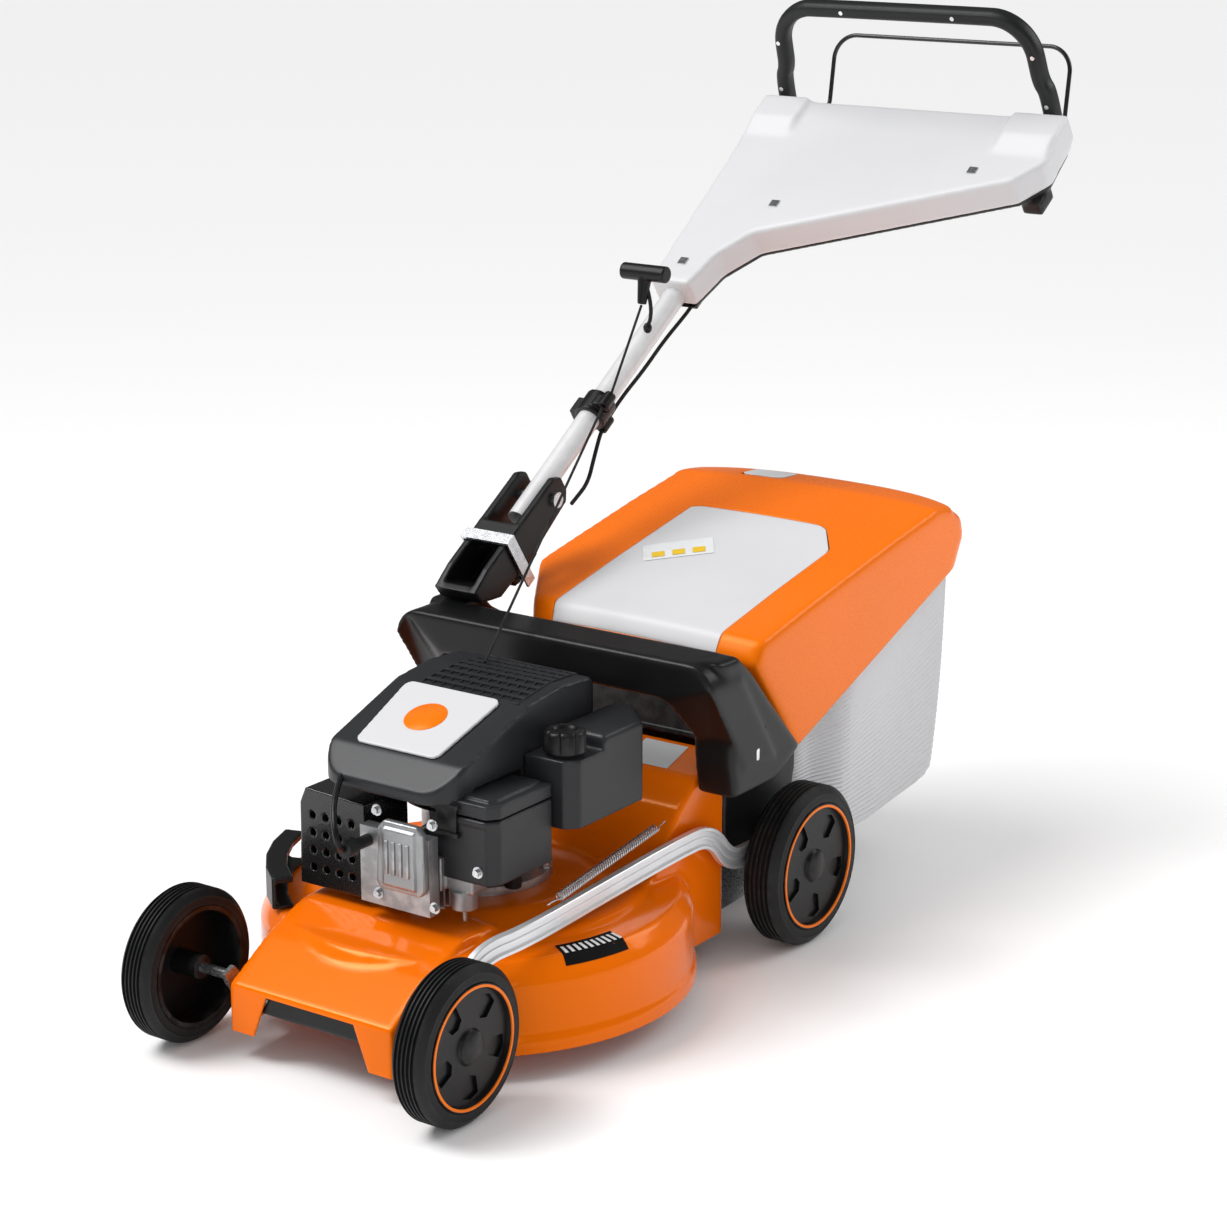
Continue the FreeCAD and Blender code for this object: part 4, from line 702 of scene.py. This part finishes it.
def buildHood(look):
    bm = hoodSurface(look, 0.0)
    rimSpot = (0, rimLook["front"], rimLook["hoodLow"])
    trim(bm, rimSpot, rimLook["normal"])
    cutHole(bm, windowPlanes(look, 0.0), facesAbove(look["window"]))
    onTop = facesAbove(look["ridge"])
    cutHole(bm, flapPlanes(look, 0.0), onTop)
    thicken(addPiece(bm, "hood_shell", "catcher", "orange_plastic", ["hood"], smooth=50), look["wall"])
    flap = hoodSurface(look, 0.0006)
    keepInside(flap, flapPlanes(look, look["flapGap"]))
    bmesh.ops.delete(flap, geom=[face for face in flap.faces if not onTop(face)], context="FACES")
    thicken(addPiece(flap, "level_panel", "level_flap", "white_plastic", ["level_flap"], smooth=50), 0.0016)
    panel = hoodSurface(look, -0.0006)
    trim(panel, rimSpot, rimLook["normal"])
    keepInside(panel, windowPlanes(look, look["gap"]))
    low = [face for face in panel.faces if face.normal.z < 0.2]
    bmesh.ops.delete(panel, geom=low, context="FACES")
    thicken(addPiece(panel, "insert_panel", "catcher", "white_plastic", ["hood_insert"], smooth=50), 0.0028)


bagLook = {"ribs": 36, "levels": 4, "ribDepth": 0.0028, "halfNarrow": 0.169, "halfWide": 0.191, "corner": 0.045,
           "front": 0.400, "rear": 0.797, "steps": 12, "floor": 0.078, "wall": 0.002, "neckHalf": 0.169,
           "neck": [(0.268, 0.114), (0.410, 0.114), (0.430, 0.2), (0.430, 0.258), (0.268, 0.256)],
           "mouth": [(-0.155, 0.124), (0.155, 0.124), (0.155, 0.246), (-0.155, 0.246)]}


def bagRing(look, drop):
    front = look["front"] + 0.012 * drop
    rear = look["rear"] - 0.022 * drop ** 3
    half = look["halfWide"]
    corners = [(half, front), (half, rear), (-half, rear), (-half, front)]
    points = [Vector(spot) for spot in roundedOutline(corners, [look["corner"]] * 4, look["steps"])]
    dense = []
    for start, stop in zip(points, points[1:] + points[:1]):
        count = max(1, round((stop - start).length / 0.016))
        dense += [start.lerp(stop, step / count) for step in range(count)]
    ring = []
    for spot in dense:
        widen = max(0.0, min(1.0, (spot.y - 0.455) / 0.075))
        widen = widen * widen * (3 - 2 * widen)
        half = look["halfNarrow"] + (look["halfWide"] - look["halfNarrow"]) * widen
        taper = 1 - 0.03 * drop
        above = rimHeight(spot.y) - 0.0005
        below = look["floor"] + max(0.0, spot.y - 0.6) * 0.12 + max(0.0, 0.52 - spot.y) * 0.24
        ring.append(Vector((spot.x / look["halfWide"] * half * taper, spot.y, above + (below - above) * drop)))
    return ring


def buildBag(look):
    bm = bmesh.new()
    count = look["ribs"] * look["levels"]
    previous = None
    for level in range(count + 1):
        drop = level / count
        ripple = 0.5 - 0.5 * math.cos(math.tau * level / look["levels"])
        ring = bagRing(look, drop)
        middle = Vector((0, (look["front"] + look["rear"]) / 2, 0))
        tuck = 0.012 * max(0.0, (drop - 0.93) / 0.07) ** 2
        verts = []
        for spot in ring:
            outward = Vector((spot.x, (spot.y - middle.y) * 0.8, 0)).normalized()
            verts.append(bm.verts.new(spot - outward * (look["ribDepth"] * ripple + tuck)))
        edges = [bm.edges.new(pair) for pair in zip(verts, verts[1:] + verts[:1])]
        if previous:
            bmesh.ops.bridge_loops(bm, edges=previous + edges)
        previous = edges
    bmesh.ops.edgenet_fill(bm, edges=previous)
    bmesh.ops.recalc_face_normals(bm, faces=bm.faces)
    thicken(addPiece(bm, "bag_shell", "catcher", "white_plastic", ["bag_box"], smooth=60), look["wall"])
    neck = bmesh.new()
    prism(neck, look["neck"], -look["neckHalf"], look["neckHalf"])
    mouth = blended(neck, 0.004, 4)
    rim = look["neck"][0][0] + 0.012
    cutHole(mouth, planesOf(look["mouth"], "Y"), lambda face: face.calc_center_median().y < rim)
    # The neck is given the black plastic finish as painted shade for the dark area between rear wheel and deck; the
    # real neck is white plastic like the bag.
    neckPiece = addPiece(mouth, "bag_neck", "catcher", "white_plastic", finish="black_plastic", smooth=50)
    thicken(neckPiece, look["wall"] * 1.1)


buildHood(hoodLook)
buildBag(bagLook)
print("catcher built")


# Wheels

wheelLook = {"grooves": 5, "grooveHalf": 0.0016, "grooveDepth": 0.003, "ringWidth": 0.0036, "steps": 160}


def wheelFrame(label):
    low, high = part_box(label + "_tyre")
    centre = (low + high) / 2
    side = 1 if centre.x > 0 else -1
    return centre, (high.z - low.z) / 2, high.x - low.x, side


def buildTyre(label, look):
    centre, radius, width, side = wheelFrame(label)
    rim = radius * 0.78
    profile = [(0.0012, rim), (0.0, rim + 0.002), (0.0004, radius * 0.86), (0.0010, radius * 0.885),
               (0.0006, radius * 0.9), (0.0026, radius - 0.0075), (0.0052, radius - 0.0035),
               (0.0080, radius - 0.0012)]
    usable = width - 0.018
    for place in range(look["grooves"]):
        middle = 0.009 + usable * (place + 0.5) / look["grooves"]
        half = look["grooveHalf"]
        deep = radius - look["grooveDepth"]
        profile += [(middle - half - 0.0005, radius), (middle - half, deep), (middle + half, deep),
                    (middle + half + 0.0005, radius)]
    profile += [(width - away, height) for away, height in reversed(profile[:8])]
    outer = centre.x + side * width / 2
    bm = bmesh.new()
    spun(bm, [(outer - side * away, centre.y, centre.z + height) for away, height in profile], centre, (1, 0, 0),
         look["steps"], closed=True)
    addPiece(bm, label + "_tyre_tread", label + "_wheel", "tyre_rubber", [label + "_tyre"], smooth=32)


def buildWheelTrim(label, look):
    centre, radius, width, side = wheelFrame(label)
    outer = centre.x + side * (width / 2 + 0.0008)
    ringRadius = radius * 0.752
    bm = bmesh.new()
    band = look["ringWidth"]
    profile = [(-0.001, ringRadius - band / 2), (0.0008, ringRadius - band / 2 + 0.0004),
               (0.0008, ringRadius + band / 2 - 0.0004), (-0.001, ringRadius + band / 2)]
    spun(bm, [(outer + side * away, centre.y, centre.z + height) for away, height in profile], centre, (1, 0, 0),
         look["steps"], closed=True)
    addPiece(bm, label + "_trim_ring", label + "_wheel", "orange_plastic")
    cap = bmesh.new()
    face = centre.x + side * (width / 2 - 0.0012)
    capRadius = 0.019
    profile = [(-0.003, 0.0), (-0.003, capRadius), (0.0, capRadius - 0.0005), (0.0022, capRadius - 0.004),
               (0.0028, 0.0)]
    spun(cap, [(face + side * away, centre.y, centre.z + height) for away, height in profile], centre, (1, 0, 0),
         64)
    addPiece(cap, label + "_hub_cap", label + "_wheel", "black_plastic")


for label in ("front_left", "front_right", "rear_left", "rear_right"):
    buildTyre(label, wheelLook)
    buildWheelTrim(label, wheelLook)
print("wheels built")


# Moulded engine and body covers

handlePlace = Matrix.Translation((0, 0.358, 0.508)) @ Matrix.Rotation(math.radians(34), 4, "X")

coverLook = {
    "outline": [(-0.210, 0.378), (-0.149, 0.378), (-0.137, 0.438), (-0.105, 0.4855), (0.215, 0.6275),
                (0.2445, 0.670),
                (0.2395, 0.743), (0.223, 0.7555), (-0.207, 0.7555), (-0.2275, 0.741)],
    "low": -0.0145, "high": 0.028, "voxel": 0.003, "rounds": 9,
    "shoulders": [(0.158, 0.244), (-0.2285, -0.152)], "shoulderStart": 0.66, "shoulderHigh": 0.036,
}


def buildCover(look):
    form = bmesh.new()
    prism(form, look["outline"], look["low"], look["high"], "Z")
    rear = max(along for across, along in look["outline"]) - 0.001
    for low, high in look["shoulders"]:
        outline = [(look["shoulderStart"], look["low"] + 0.01), (rear, look["low"] + 0.01),
                   (rear, look["shoulderHigh"]),
                   (rear - 0.045, look["shoulderHigh"]), (look["shoulderStart"], look["high"] - 0.004)]
        prism(form, outline, low + 0.002, high - 0.002)
    bm = blended(form, look["voxel"], look["rounds"])
    bmesh.ops.transform(bm, verts=bm.verts, matrix=handlePlace)
    addPiece(bm, "cover_shell", "handle", "white_plastic", ["cover_top"], smooth=60)


buildCover(coverLook)

mouldings = {
    "engine_shroud": {"voxel": 0.0022, "rounds": 6},
    "fuel_tank": {"voxel": 0.0020, "rounds": 6},
    "rear_casing": {"voxel": 0.0026, "rounds": 10},
    "handle_console": {"voxel": 0.0016, "rounds": 3},
    "side_shield": {"voxel": 0.0018, "rounds": 3},
    "muffler_guard": {"voxel": 0.0012, "rounds": 2},
    "valve_cover": {"voxel": 0.0013, "rounds": 4},
    "carburettor": {"voxel": 0.0011, "rounds": 2},
    "rope_guide": {"voxel": 0.0011, "rounds": 3},
    "starter_grip": {"voxel": 0.0011, "rounds": 5},
    "clamp_lever": {"voxel": 0.0010, "rounds": 3},
    "nose_bar": {"voxel": 0.0014, "rounds": 4},
    "engine_badge": {"voxel": 0.0012, "rounds": 2},
    "cover_bottom": {"voxel": 0.0026, "rounds": 3},
    "oil_cap": {"voxel": 0.0009, "rounds": 2},
}
casingArch = {
    "outer": [(-0.2322, 0.262), (-0.2322, 0.405), (0.2322, 0.405), (0.2322, 0.262)],
    "outerRadii": [0.001, 0.034, 0.034, 0.001],
    "inner": [(0.190, 0.262), (0.166, 0.357), (-0.166, 0.357), (-0.190, 0.262)],
    "innerRadii": [0.001, 0.016, 0.016, 0.001],
    "front": 0.1395, "rear": 0.206, "slope": 0.8,
}


def addArch(bm, look):
    outline = roundedOutline(look["outer"], look["outerRadii"]) + roundedOutline(look["inner"], look["innerRadii"])
    present = set(bm.verts)
    prism(bm, outline, look["front"], look["rear"], "Y")
    for vert in bm.verts:
        if vert not in present:
            vert.co.y += max(0.0, look["inner"][1][1] - vert.co.z) * look["slope"]


for name, look in mouldings.items():
    form = nodeCopy(name)
    if name == "rear_casing":
        addArch(form, casingArch)
    bm = blended(form, look["voxel"], look["rounds"])
    addPiece(bm, name + "_moulding", bodyOf[name], slotOf[name], [name], smooth=60)
print("mouldings built")


# Engine trim

badgeLook = {"tilt": 19.7, "discRadius": 0.0255, "discMiddle": 0.062}


def buildBadgeDisc(look):
    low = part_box("engine_badge")[0]
    turn = Matrix.Rotation(math.radians(look["tilt"]), 4, "X")
    spot = Matrix.Translation((0, -0.148, low.z)) @ turn
    bm = bmesh.new()
    spun(bm, [(0, 0, 0.0036), (look["discRadius"], 0, 0.0036), (look["discRadius"], 0, 0.0046),
              (look["discRadius"] - 0.0006, 0, 0.005), (0, 0, 0.005)], (0, 0, 0), (0, 0, 1), 96)
    bmesh.ops.translate(bm, verts=bm.verts, vec=(0, look["discMiddle"], 0))
    bmesh.ops.transform(bm, verts=bm.verts, matrix=spot)
    addPiece(bm, "badge_disc", "chassis", "orange_plastic")


grilleLook = {"columns": 10, "rows": 8, "low": (-0.054, -0.036), "high": (0.088, 0.088), "rib": 0.0017,
              "squash": 0.5,
              "deep": 0.0032, "lift": 0.0016}


def buildGrille(look):
    bm = bmesh.new()
    bmesh.ops.create_grid(bm, x_segments=look["columns"], y_segments=look["rows"], size=0.5)
    (lowX, lowY), (highX, highY) = look["low"], look["high"]
    for vert in bm.verts:
        narrow = 1 - 0.1 * (vert.co.y + 0.5)
        middle = (lowX + highX) / 2
        vert.co = (middle + vert.co.x * (highX - lowX) * narrow, lowY + (vert.co.y + 0.5) * (highY - lowY), 0.39)
    draped(bm, treeOf("engine_shroud_moulding"), look["lift"])
    holes = bm.faces[:]
    bmesh.ops.inset_individual(bm, faces=holes, thickness=look["rib"], depth=0.0)
    for face in holes:
        middle = face.calc_center_median()
        for vert in face.verts:
            vert.co.y = middle.y + (vert.co.y - middle.y) * look["squash"]
    bmesh.ops.inset_individual(bm, faces=holes, thickness=0.0002, depth=-look["deep"])
    for face in holes:
        # The hole floors take the near-black finish as painted shade for the dark inside of the shroud seen through
        # the grille.
        face.material_index = 1
    rimEdges = [edge for edge in bm.edges if edge.is_boundary]
    skirt = bmesh.ops.extrude_edge_only(bm, edges=rimEdges)["geom"]
    bmesh.ops.translate(bm, verts=[item for item in skirt if isinstance(item, bmesh.types.BMVert)],
                        vec=(0, 0, -0.005))
    piece = addPiece(bm, "shroud_grille", "chassis", "dark_plastic", smooth=20)
    piece.data.materials.append(finishes["print_and_shade_black"])


capLook = {"place": (0.142, -0.02), "low": 0.3355, "radius": 0.0245, "lobes": 8, "depth": 0.0022, "around": 128}


def buildFuelCap(look):
    bm = bmesh.new()
    rings = []
    profile = [(0.0, 0.0, 0.92), (0.0, 0.0, 1.0), (0.0045, 1.0, 1.0), (0.019, 1.0, 0.985), (0.0225, 1.0, 0.93),
               (0.024, 0.6, 0.84), (0.024, 0.0, 0.6), (0.0212, 0.0, 0.52), (0.021, 0.0, 0.05)]
    for height, share, size in profile:
        ring = []
        for step in range(look["around"]):
            angle = math.tau * step / look["around"]
            lobe = abs(math.cos(angle * look["lobes"] / 2)) ** 0.4
            radius = look["radius"] * size - look["depth"] * share * (1 - lobe)
            ring.append(bm.verts.new((look["place"][0] + radius * math.cos(angle),
                                      look["place"][1] + radius * math.sin(angle), look["low"] + height)))
        rings.append([bm.edges.new(pair) for pair in zip(ring, ring[1:] + ring[:1])])
    for first, second in zip(rings, rings[1:]):
        bmesh.ops.bridge_loops(bm, edges=first + second)
    for ring in (rings[0], rings[-1]):
        bmesh.ops.edgenet_fill(bm, edges=ring)
    addPiece(bm, "fuel_cap_knob", "fuel_cap", "black_plastic", ["fuel_cap"], smooth=35, recalc=True)


def buildValveRidges():
    bm = bmesh.new()
    for place in range(4):
        low = 0.0265 + place * 0.0098
        prism(bm, [(low, 0.218), (low + 0.0052, 0.218), (low + 0.0052, 0.257), (low, 0.257)], -0.2018, -0.1995, "Y")
    bmesh.ops.recalc_face_normals(bm, faces=bm.faces)
    bevelled(bm, 0.0009, 2)
    addPiece(bm, "valve_ridges", "chassis", "cast_aluminium", smooth=50)


leadsLook = {
    "spark_lead": {"radius": 0.0034, "slot": "black_plastic", "route": [
        (-0.008, -0.226, 0.246), (-0.008, -0.237, 0.250), (-0.012, -0.238, 0.270), (-0.036, -0.212, 0.296),
        (-0.052, -0.176, 0.312)]},
    "fuel_hose": {"radius": 0.0036, "slot": "black_plastic", "route": [
        (0.118, -0.035, 0.266), (0.122, -0.05, 0.240), (0.112, -0.082, 0.212), (0.100, -0.118, 0.196),
        (0.097, -0.136, 0.192)]},
    "governor_rod": {"radius": 0.0012, "slot": "zinc_steel", "route": [
        (0.060, -0.092, 0.246), (0.074, -0.098, 0.252), (0.086, -0.120, 0.250), (0.090, -0.134, 0.246)]},
}


def buildLeads(look):
    for name, lead in look.items():
        addPiece(sweep(name, lead["route"], lead["radius"]), name, "chassis", lead["slot"])


labelLook = {
    "lift": 0.0007, "ring": (0.2155, 0.2455), "arc": (-29, -9), "stripes": (0.222, 0.236),
    "tunnel": {"middle": (0.094, 0.232, 0.27), "size": (0.062, 0.046)},
    "insert": {"middle": (-0.039, 0.474, 0.44), "size": (0.09, 0.05), "turn": 36, "lift": 0.0006},
    "marks": {"across": (-0.026, 0.0, 0.026), "down": -0.010, "size": (0.016, 0.016), "lift": 0.0011},
}


def buildScalePlate(look, deckTree):
    bm = bmesh.new()
    first, last = look["arc"]
    ringLow, ringHigh = look["ring"]
    for vert in bmesh.ops.create_grid(bm, x_segments=20, y_segments=6, size=0.5)["verts"]:
        angle = math.radians(first + (vert.co.x + 0.5) * (last - first))
        radius = ringLow + (vert.co.y + 0.5) * (ringHigh - ringLow)
        vert.co = (radius * math.cos(angle), radius * math.sin(angle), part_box("deck")[1].z / 2)
    draped(bm, deckTree, look["lift"])
    low, high = look["stripes"]
    for face in bm.faces:
        spot = face.calc_center_median()
        turn = math.degrees(math.atan2(spot.y, spot.x))
        face.material_index = 1 if int(turn - first) % 2 and low < math.hypot(spot.x, spot.y) < high else 0
    scale = addPiece(bm, "scale_plate", "chassis", "black_plastic", finish="print_and_shade_black", recalc=True)
    scale.data.materials.append(finishes["pale_label"])


def buildLabels(look):
    deckTree = treeOf("deck_shell")
    buildScalePlate(look, deckTree)
    tunnel = bmesh.new()
    plate(tunnel, look["tunnel"]["middle"], look["tunnel"]["size"], 0, 10)
    draped(tunnel, deckTree, look["lift"])
    addPiece(tunnel, "tunnel_label", "chassis", "white_plastic", finish="pale_label")
    insert, dots = look["insert"], look["marks"]
    panelTree = treeOf("insert_panel")
    sticker = bmesh.new()
    plate(sticker, insert["middle"], insert["size"], insert["turn"], 10)
    draped(sticker, panelTree, insert["lift"])
    addPiece(sticker, "insert_label", "catcher", "white_plastic", finish="pale_label")
    marks = bmesh.new()
    spin = Matrix.Rotation(math.radians(insert["turn"]), 3, "Z")
    for across in dots["across"]:
        spot = Vector(insert["middle"]) + spin @ Vector((across, dots["down"], 0))
        plate(marks, spot, dots["size"], insert["turn"], 2)
    draped(marks, panelTree, dots["lift"])
    addPiece(marks, "insert_marks", "catcher", "white_plastic", finish="label_yellow")


clipLook = {
    "slot": [(0.226, 0.262), (0.256, 0.262), (0.262, 0.306), (0.232, 0.306)], "slotOut": 0.0006,
    "clip": [(0.2385, 0.268), (0.2445, 0.268), (0.2445, 0.283), (0.2385, 0.283)], "clipOut": 0.0028,
}


def buildCasingClip(look):
    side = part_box("rear_casing")[1].x
    # The slot is a thin near-black plate on the casing face: painted shade standing in for the slot's dark recess
    # behind the clip.
    recess = bmesh.new()
    prism(recess, roundedOutline(look["slot"], [0.004] * 4, 4), side - 0.002, side + look["slotOut"])
    addPiece(recess, "casing_slot", "chassis", "black_plastic", finish="print_and_shade_black", recalc=True)
    clip = bmesh.new()
    prism(clip, roundedOutline(look["clip"], [0.002] * 4, 3), side - 0.001, side + look["clipOut"])
    bmesh.ops.recalc_face_normals(clip, faces=clip.faces)
    bevelled(clip, 0.0006, 2)
    addPiece(clip, "casing_clip", "chassis", "zinc_steel", finish="chrome")


filterLook = {
    "clipX": 0.085, "clipHalf": 0.014, "clipLow": 0.266, "clipHigh": 0.304, "voxel": 0.0015, "rounds": 4,
    "box": [(0.058, -0.160), (0.136, -0.160), (0.147, -0.146), (0.147, -0.052), (0.096, -0.052), (0.058, -0.078)],
    "bottom": 0.212, "split": 0.2885, "top": 0.3095,
}


def buildFilterTrim(look):
    front = look["box"][0][1]
    box = bmesh.new()
    prism(box, look["box"], look["bottom"], look["split"] - 0.001, "Z")
    prism(box, [(x, y - 0.0015) for x, y in look["box"]], look["split"] - 0.008, look["split"] - 0.001, "Z")
    addPiece(blended(box, look["voxel"], look["rounds"]), "filter_case", "chassis", "dark_plastic",
             ["air_filter_box"],
             smooth=60)
    lid = bmesh.new()
    prism(lid, look["box"], look["split"] + 0.0006, look["top"] - 0.004, "Z")
    prism(lid, [(0.066, -0.150), (0.134, -0.150), (0.138, -0.140), (0.138, -0.060), (0.100, -0.060),
                (0.066, -0.082)],
          look["split"] + 0.002, look["top"], "Z")
    addPiece(blended(lid, look["voxel"], look["rounds"]), "filter_lid", "air_filter_cover", "dark_plastic",
             ["air_filter_cover"], smooth=60)
    bm = bmesh.new()
    middle, half = look["clipX"], look["clipHalf"]
    outline = roundedOutline([(middle - half, look["clipLow"]), (middle + half, look["clipLow"]),
                              (middle + half, look["clipHigh"]), (middle - half, look["clipHigh"])], [0.004] * 4, 4)
    prism(bm, outline, front - 0.0045, front + 0.001, "Y")
    for low in (look["clipLow"] - 0.003, look["clipHigh"] - 0.008):
        prism(bm, [(middle - half - 0.003, low), (middle + half + 0.003, low), (middle + half + 0.003, low + 0.006),
                   (middle - half - 0.003, low + 0.006)], front - 0.0062, front - 0.001, "Y")
    bmesh.ops.recalc_face_normals(bm, faces=bm.faces)
    bevelled(bm, 0.0009, 2)
    addPiece(bm, "filter_clip", "air_filter_cover", "black_plastic", smooth=45)


screwLook = {
    "flange": {"radius": 0.081, "high": 0.165, "count": 8, "first": 22.5, "size": (0.0042, 0.005)},
    "front": [(0.006, -0.186, 0.186), (0.086, -0.186, 0.186), (0.006, -0.186, 0.284), (0.084, -0.186, 0.282),
              (0.126, -0.160, 0.228)],
    "size": (0.0046, 0.006),
}


def buildScrews(look):
    bm = bmesh.new()
    ring = look["flange"]
    for step in range(ring["count"]):
        angle = math.radians(ring["first"] + 360 * step / ring["count"])
        spot = (ring["radius"] * math.cos(angle), ring["radius"] * math.sin(angle), ring["high"])
        screwHead(bm, spot, (0, 0, 1), *ring["size"])
    for spot in look["front"]:
        screwHead(bm, spot, (0, -1, 0), *look["size"])
    addPiece(bm, "engine_screws", "chassis", "zinc_steel", smooth=30)


buildBadgeDisc(badgeLook)
buildGrille(grilleLook)
buildFuelCap(capLook)
buildFilterTrim(filterLook)
buildValveRidges()
buildLeads(leadsLook)
buildScrews(screwLook)
buildLabels(labelLook)
buildCasingClip(clipLook)
print("engine trim built")


# Height linkage

springLook = {"turns": 48, "radius": 0.0046, "wire": 0.0009, "hook": 0.022, "perTurn": 10}


def buildSpring(look):
    low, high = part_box("height_spring")
    start = Vector((high.x - 0.0025, low.y + 0.002, low.z + 0.0035))
    stop = Vector((low.x + 0.0025, high.y - 0.002, high.z - 0.0035))
    along = (stop - start).normalized()
    side = along.cross(Vector((0, 0, 1))).normalized()
    up = side.cross(along)
    coilStart = start + along * look["hook"]
    coilLength = (stop - start).length - 2 * look["hook"]
    points = [start, start + along * look["hook"] * 0.6]
    count = look["turns"] * look["perTurn"]
    for step in range(count + 1):
        angle = math.tau * step / look["perTurn"]
        ring = side * math.cos(angle) + up * math.sin(angle)
        points.append(coilStart + along * coilLength * step / count + ring * look["radius"])
    points += [stop - along * look["hook"] * 0.6, stop]
    bm = sweep("height_spring", points, look["wire"])
    addPiece(bm, "spring_coil", "chassis", "zinc_steel", ["height_spring"])


linkLook = {
    "route": [(0.160, -0.256, 0.1055), (0.160, -0.247, 0.114), (0.160, -0.2045, 0.1535), (0.186, -0.152, 0.165),
              (0.186, 0.0, 0.172), (0.186, 0.150, 0.178), (0.186, 0.2115, 0.176), (0.186, 0.252, 0.128),
              (0.186, 0.300, 0.1265), (0.186, 0.395, 0.1243), (0.186, 0.4165, 0.1238)],
    "section": [(-0.004, -0.013), (0.0035, -0.013), (0.0042, -0.0122), (0.0042, -0.009), (0.0008, -0.0072),
                (0.0008, -0.0022), (0.0024, -0.0014), (0.0024, 0.0014), (0.0008, 0.0022), (0.0008, 0.0072),
                (0.0042, 0.009), (0.0042, 0.0122), (0.0035, 0.013), (-0.004, 0.013)],
}


def buildLink(look):
    bm = sweep("height_link", look["route"], look["section"], order=3, upright=True)
    addPiece(bm, "link_channel", "height_link", "zinc_steel", ["height_link"], finish="bright_zinc", smooth=35)
    pins = bmesh.new()
    for x, y, z in (look["route"][1], (0.186, 0.4065, 0.124)):
        screwHead(pins, (x + 0.0035, y, z), (1, 0, 0), 0.005, 0.004)
    addPiece(pins, "link_pins", "height_link", "zinc_steel", finish="chrome", smooth=30)


buildLink(linkLook)
buildSpring(springLook)
print("linkage built")


# Grip loop

gripLook = {"half": 0.206, "rise": 0.166, "thick": 0.0105, "deep": 0.0125, "corner": 0.058, "taper": 0.012,
            "lean": 22.0, "foot": (0.358, 0.508), "along": 0.7685, "handle": 34.0}


def gripMatrix(look):
    angle = math.radians(look["handle"])
    y = look["foot"][0] + look["along"] * math.cos(angle)
    z = look["foot"][1] + look["along"] * math.sin(angle)
    return Matrix.Translation((0, y, z)) @ Matrix.Rotation(math.radians(look["lean"]), 4, "X")


def buildGrip(look):
    place = gripMatrix(look)
    half = look["half"]
    top = look["rise"] - look["thick"]
    inner = half - look["taper"]
    corners = [(-half, 0.002), (-half + 0.001, 0.05), (-inner - 0.002, top - 0.09)]
    bend = roundedOutline([(-inner, top - 0.3), (-inner, top), (inner, top), (inner, top - 0.3)],
                          [0.01, look["corner"], look["corner"], 0.01], 8)[9:27]
    path = corners + bend + [(-x, z) for x, z in reversed(corners)]
    points = [place @ Vector((x, 0, z)) for x, z in path]
    section = []
    for step in range(28):
        angle = math.tau * step / 28
        c, s = math.cos(angle), math.sin(angle)
        section.append((look["thick"] * math.copysign(abs(c) ** 0.75, c),
                        look["deep"] * math.copysign(abs(s) ** 0.75, s)))
    bm = sweep("grip", points, section)
    addPiece(bm, "grip_handle", "handle", "grip_rubber", ["grip_loop"], smooth=50)
    screws = bmesh.new()
    facing = (place.to_3x3() @ Vector((0, -1, 0))).normalized()
    for x, z in ((-half + 0.001, 0.035), (-inner - 0.001, 0.105), (-0.085, top), (0.085, top),
                 (inner + 0.001, 0.105),
                 (half - 0.001, 0.035)):
        spot = place @ Vector((x, -look["deep"] + 0.0008, z))
        turn = facing.to_track_quat("Z", "Y").to_matrix().to_4x4()
        bmesh.ops.create_cone(screws, cap_ends=True, segments=20, radius1=0.0036, radius2=0.003, depth=0.0024,
                              matrix=Matrix.Translation(spot) @ turn)
    addPiece(screws, "grip_screws", "handle", "zinc_steel", finish="chrome", smooth=30)


buildGrip(gripLook)


def buildKnot():
    low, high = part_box("starter_grip")
    start = Vector(((low.x + high.x) / 2 + 0.006, low.y + 0.012, low.z + 0.02))
    points = [start, start + Vector((0.006, 0, -0.02)), start + Vector((0.004, 0, -0.042)),
              start + Vector((0.0, 0, -0.05))]
    bm = sweep("knot", points, 0.0026)
    bmesh.ops.create_icosphere(bm, subdivisions=3, radius=0.0058, matrix=Matrix.Translation(points[-1]))
    for vert in bm.verts:
        if vert.co.z < points[2].z:
            vert.co.z = points[-1].z + (vert.co.z - points[-1].z) * 1.25
    addPiece(bm, "grip_toggle", "starter_grip", "black_plastic")


buildKnot()
for holder in nodes["cover_clips"].material_slots:
    holder.material = finishes["chrome"]
print("grip built")
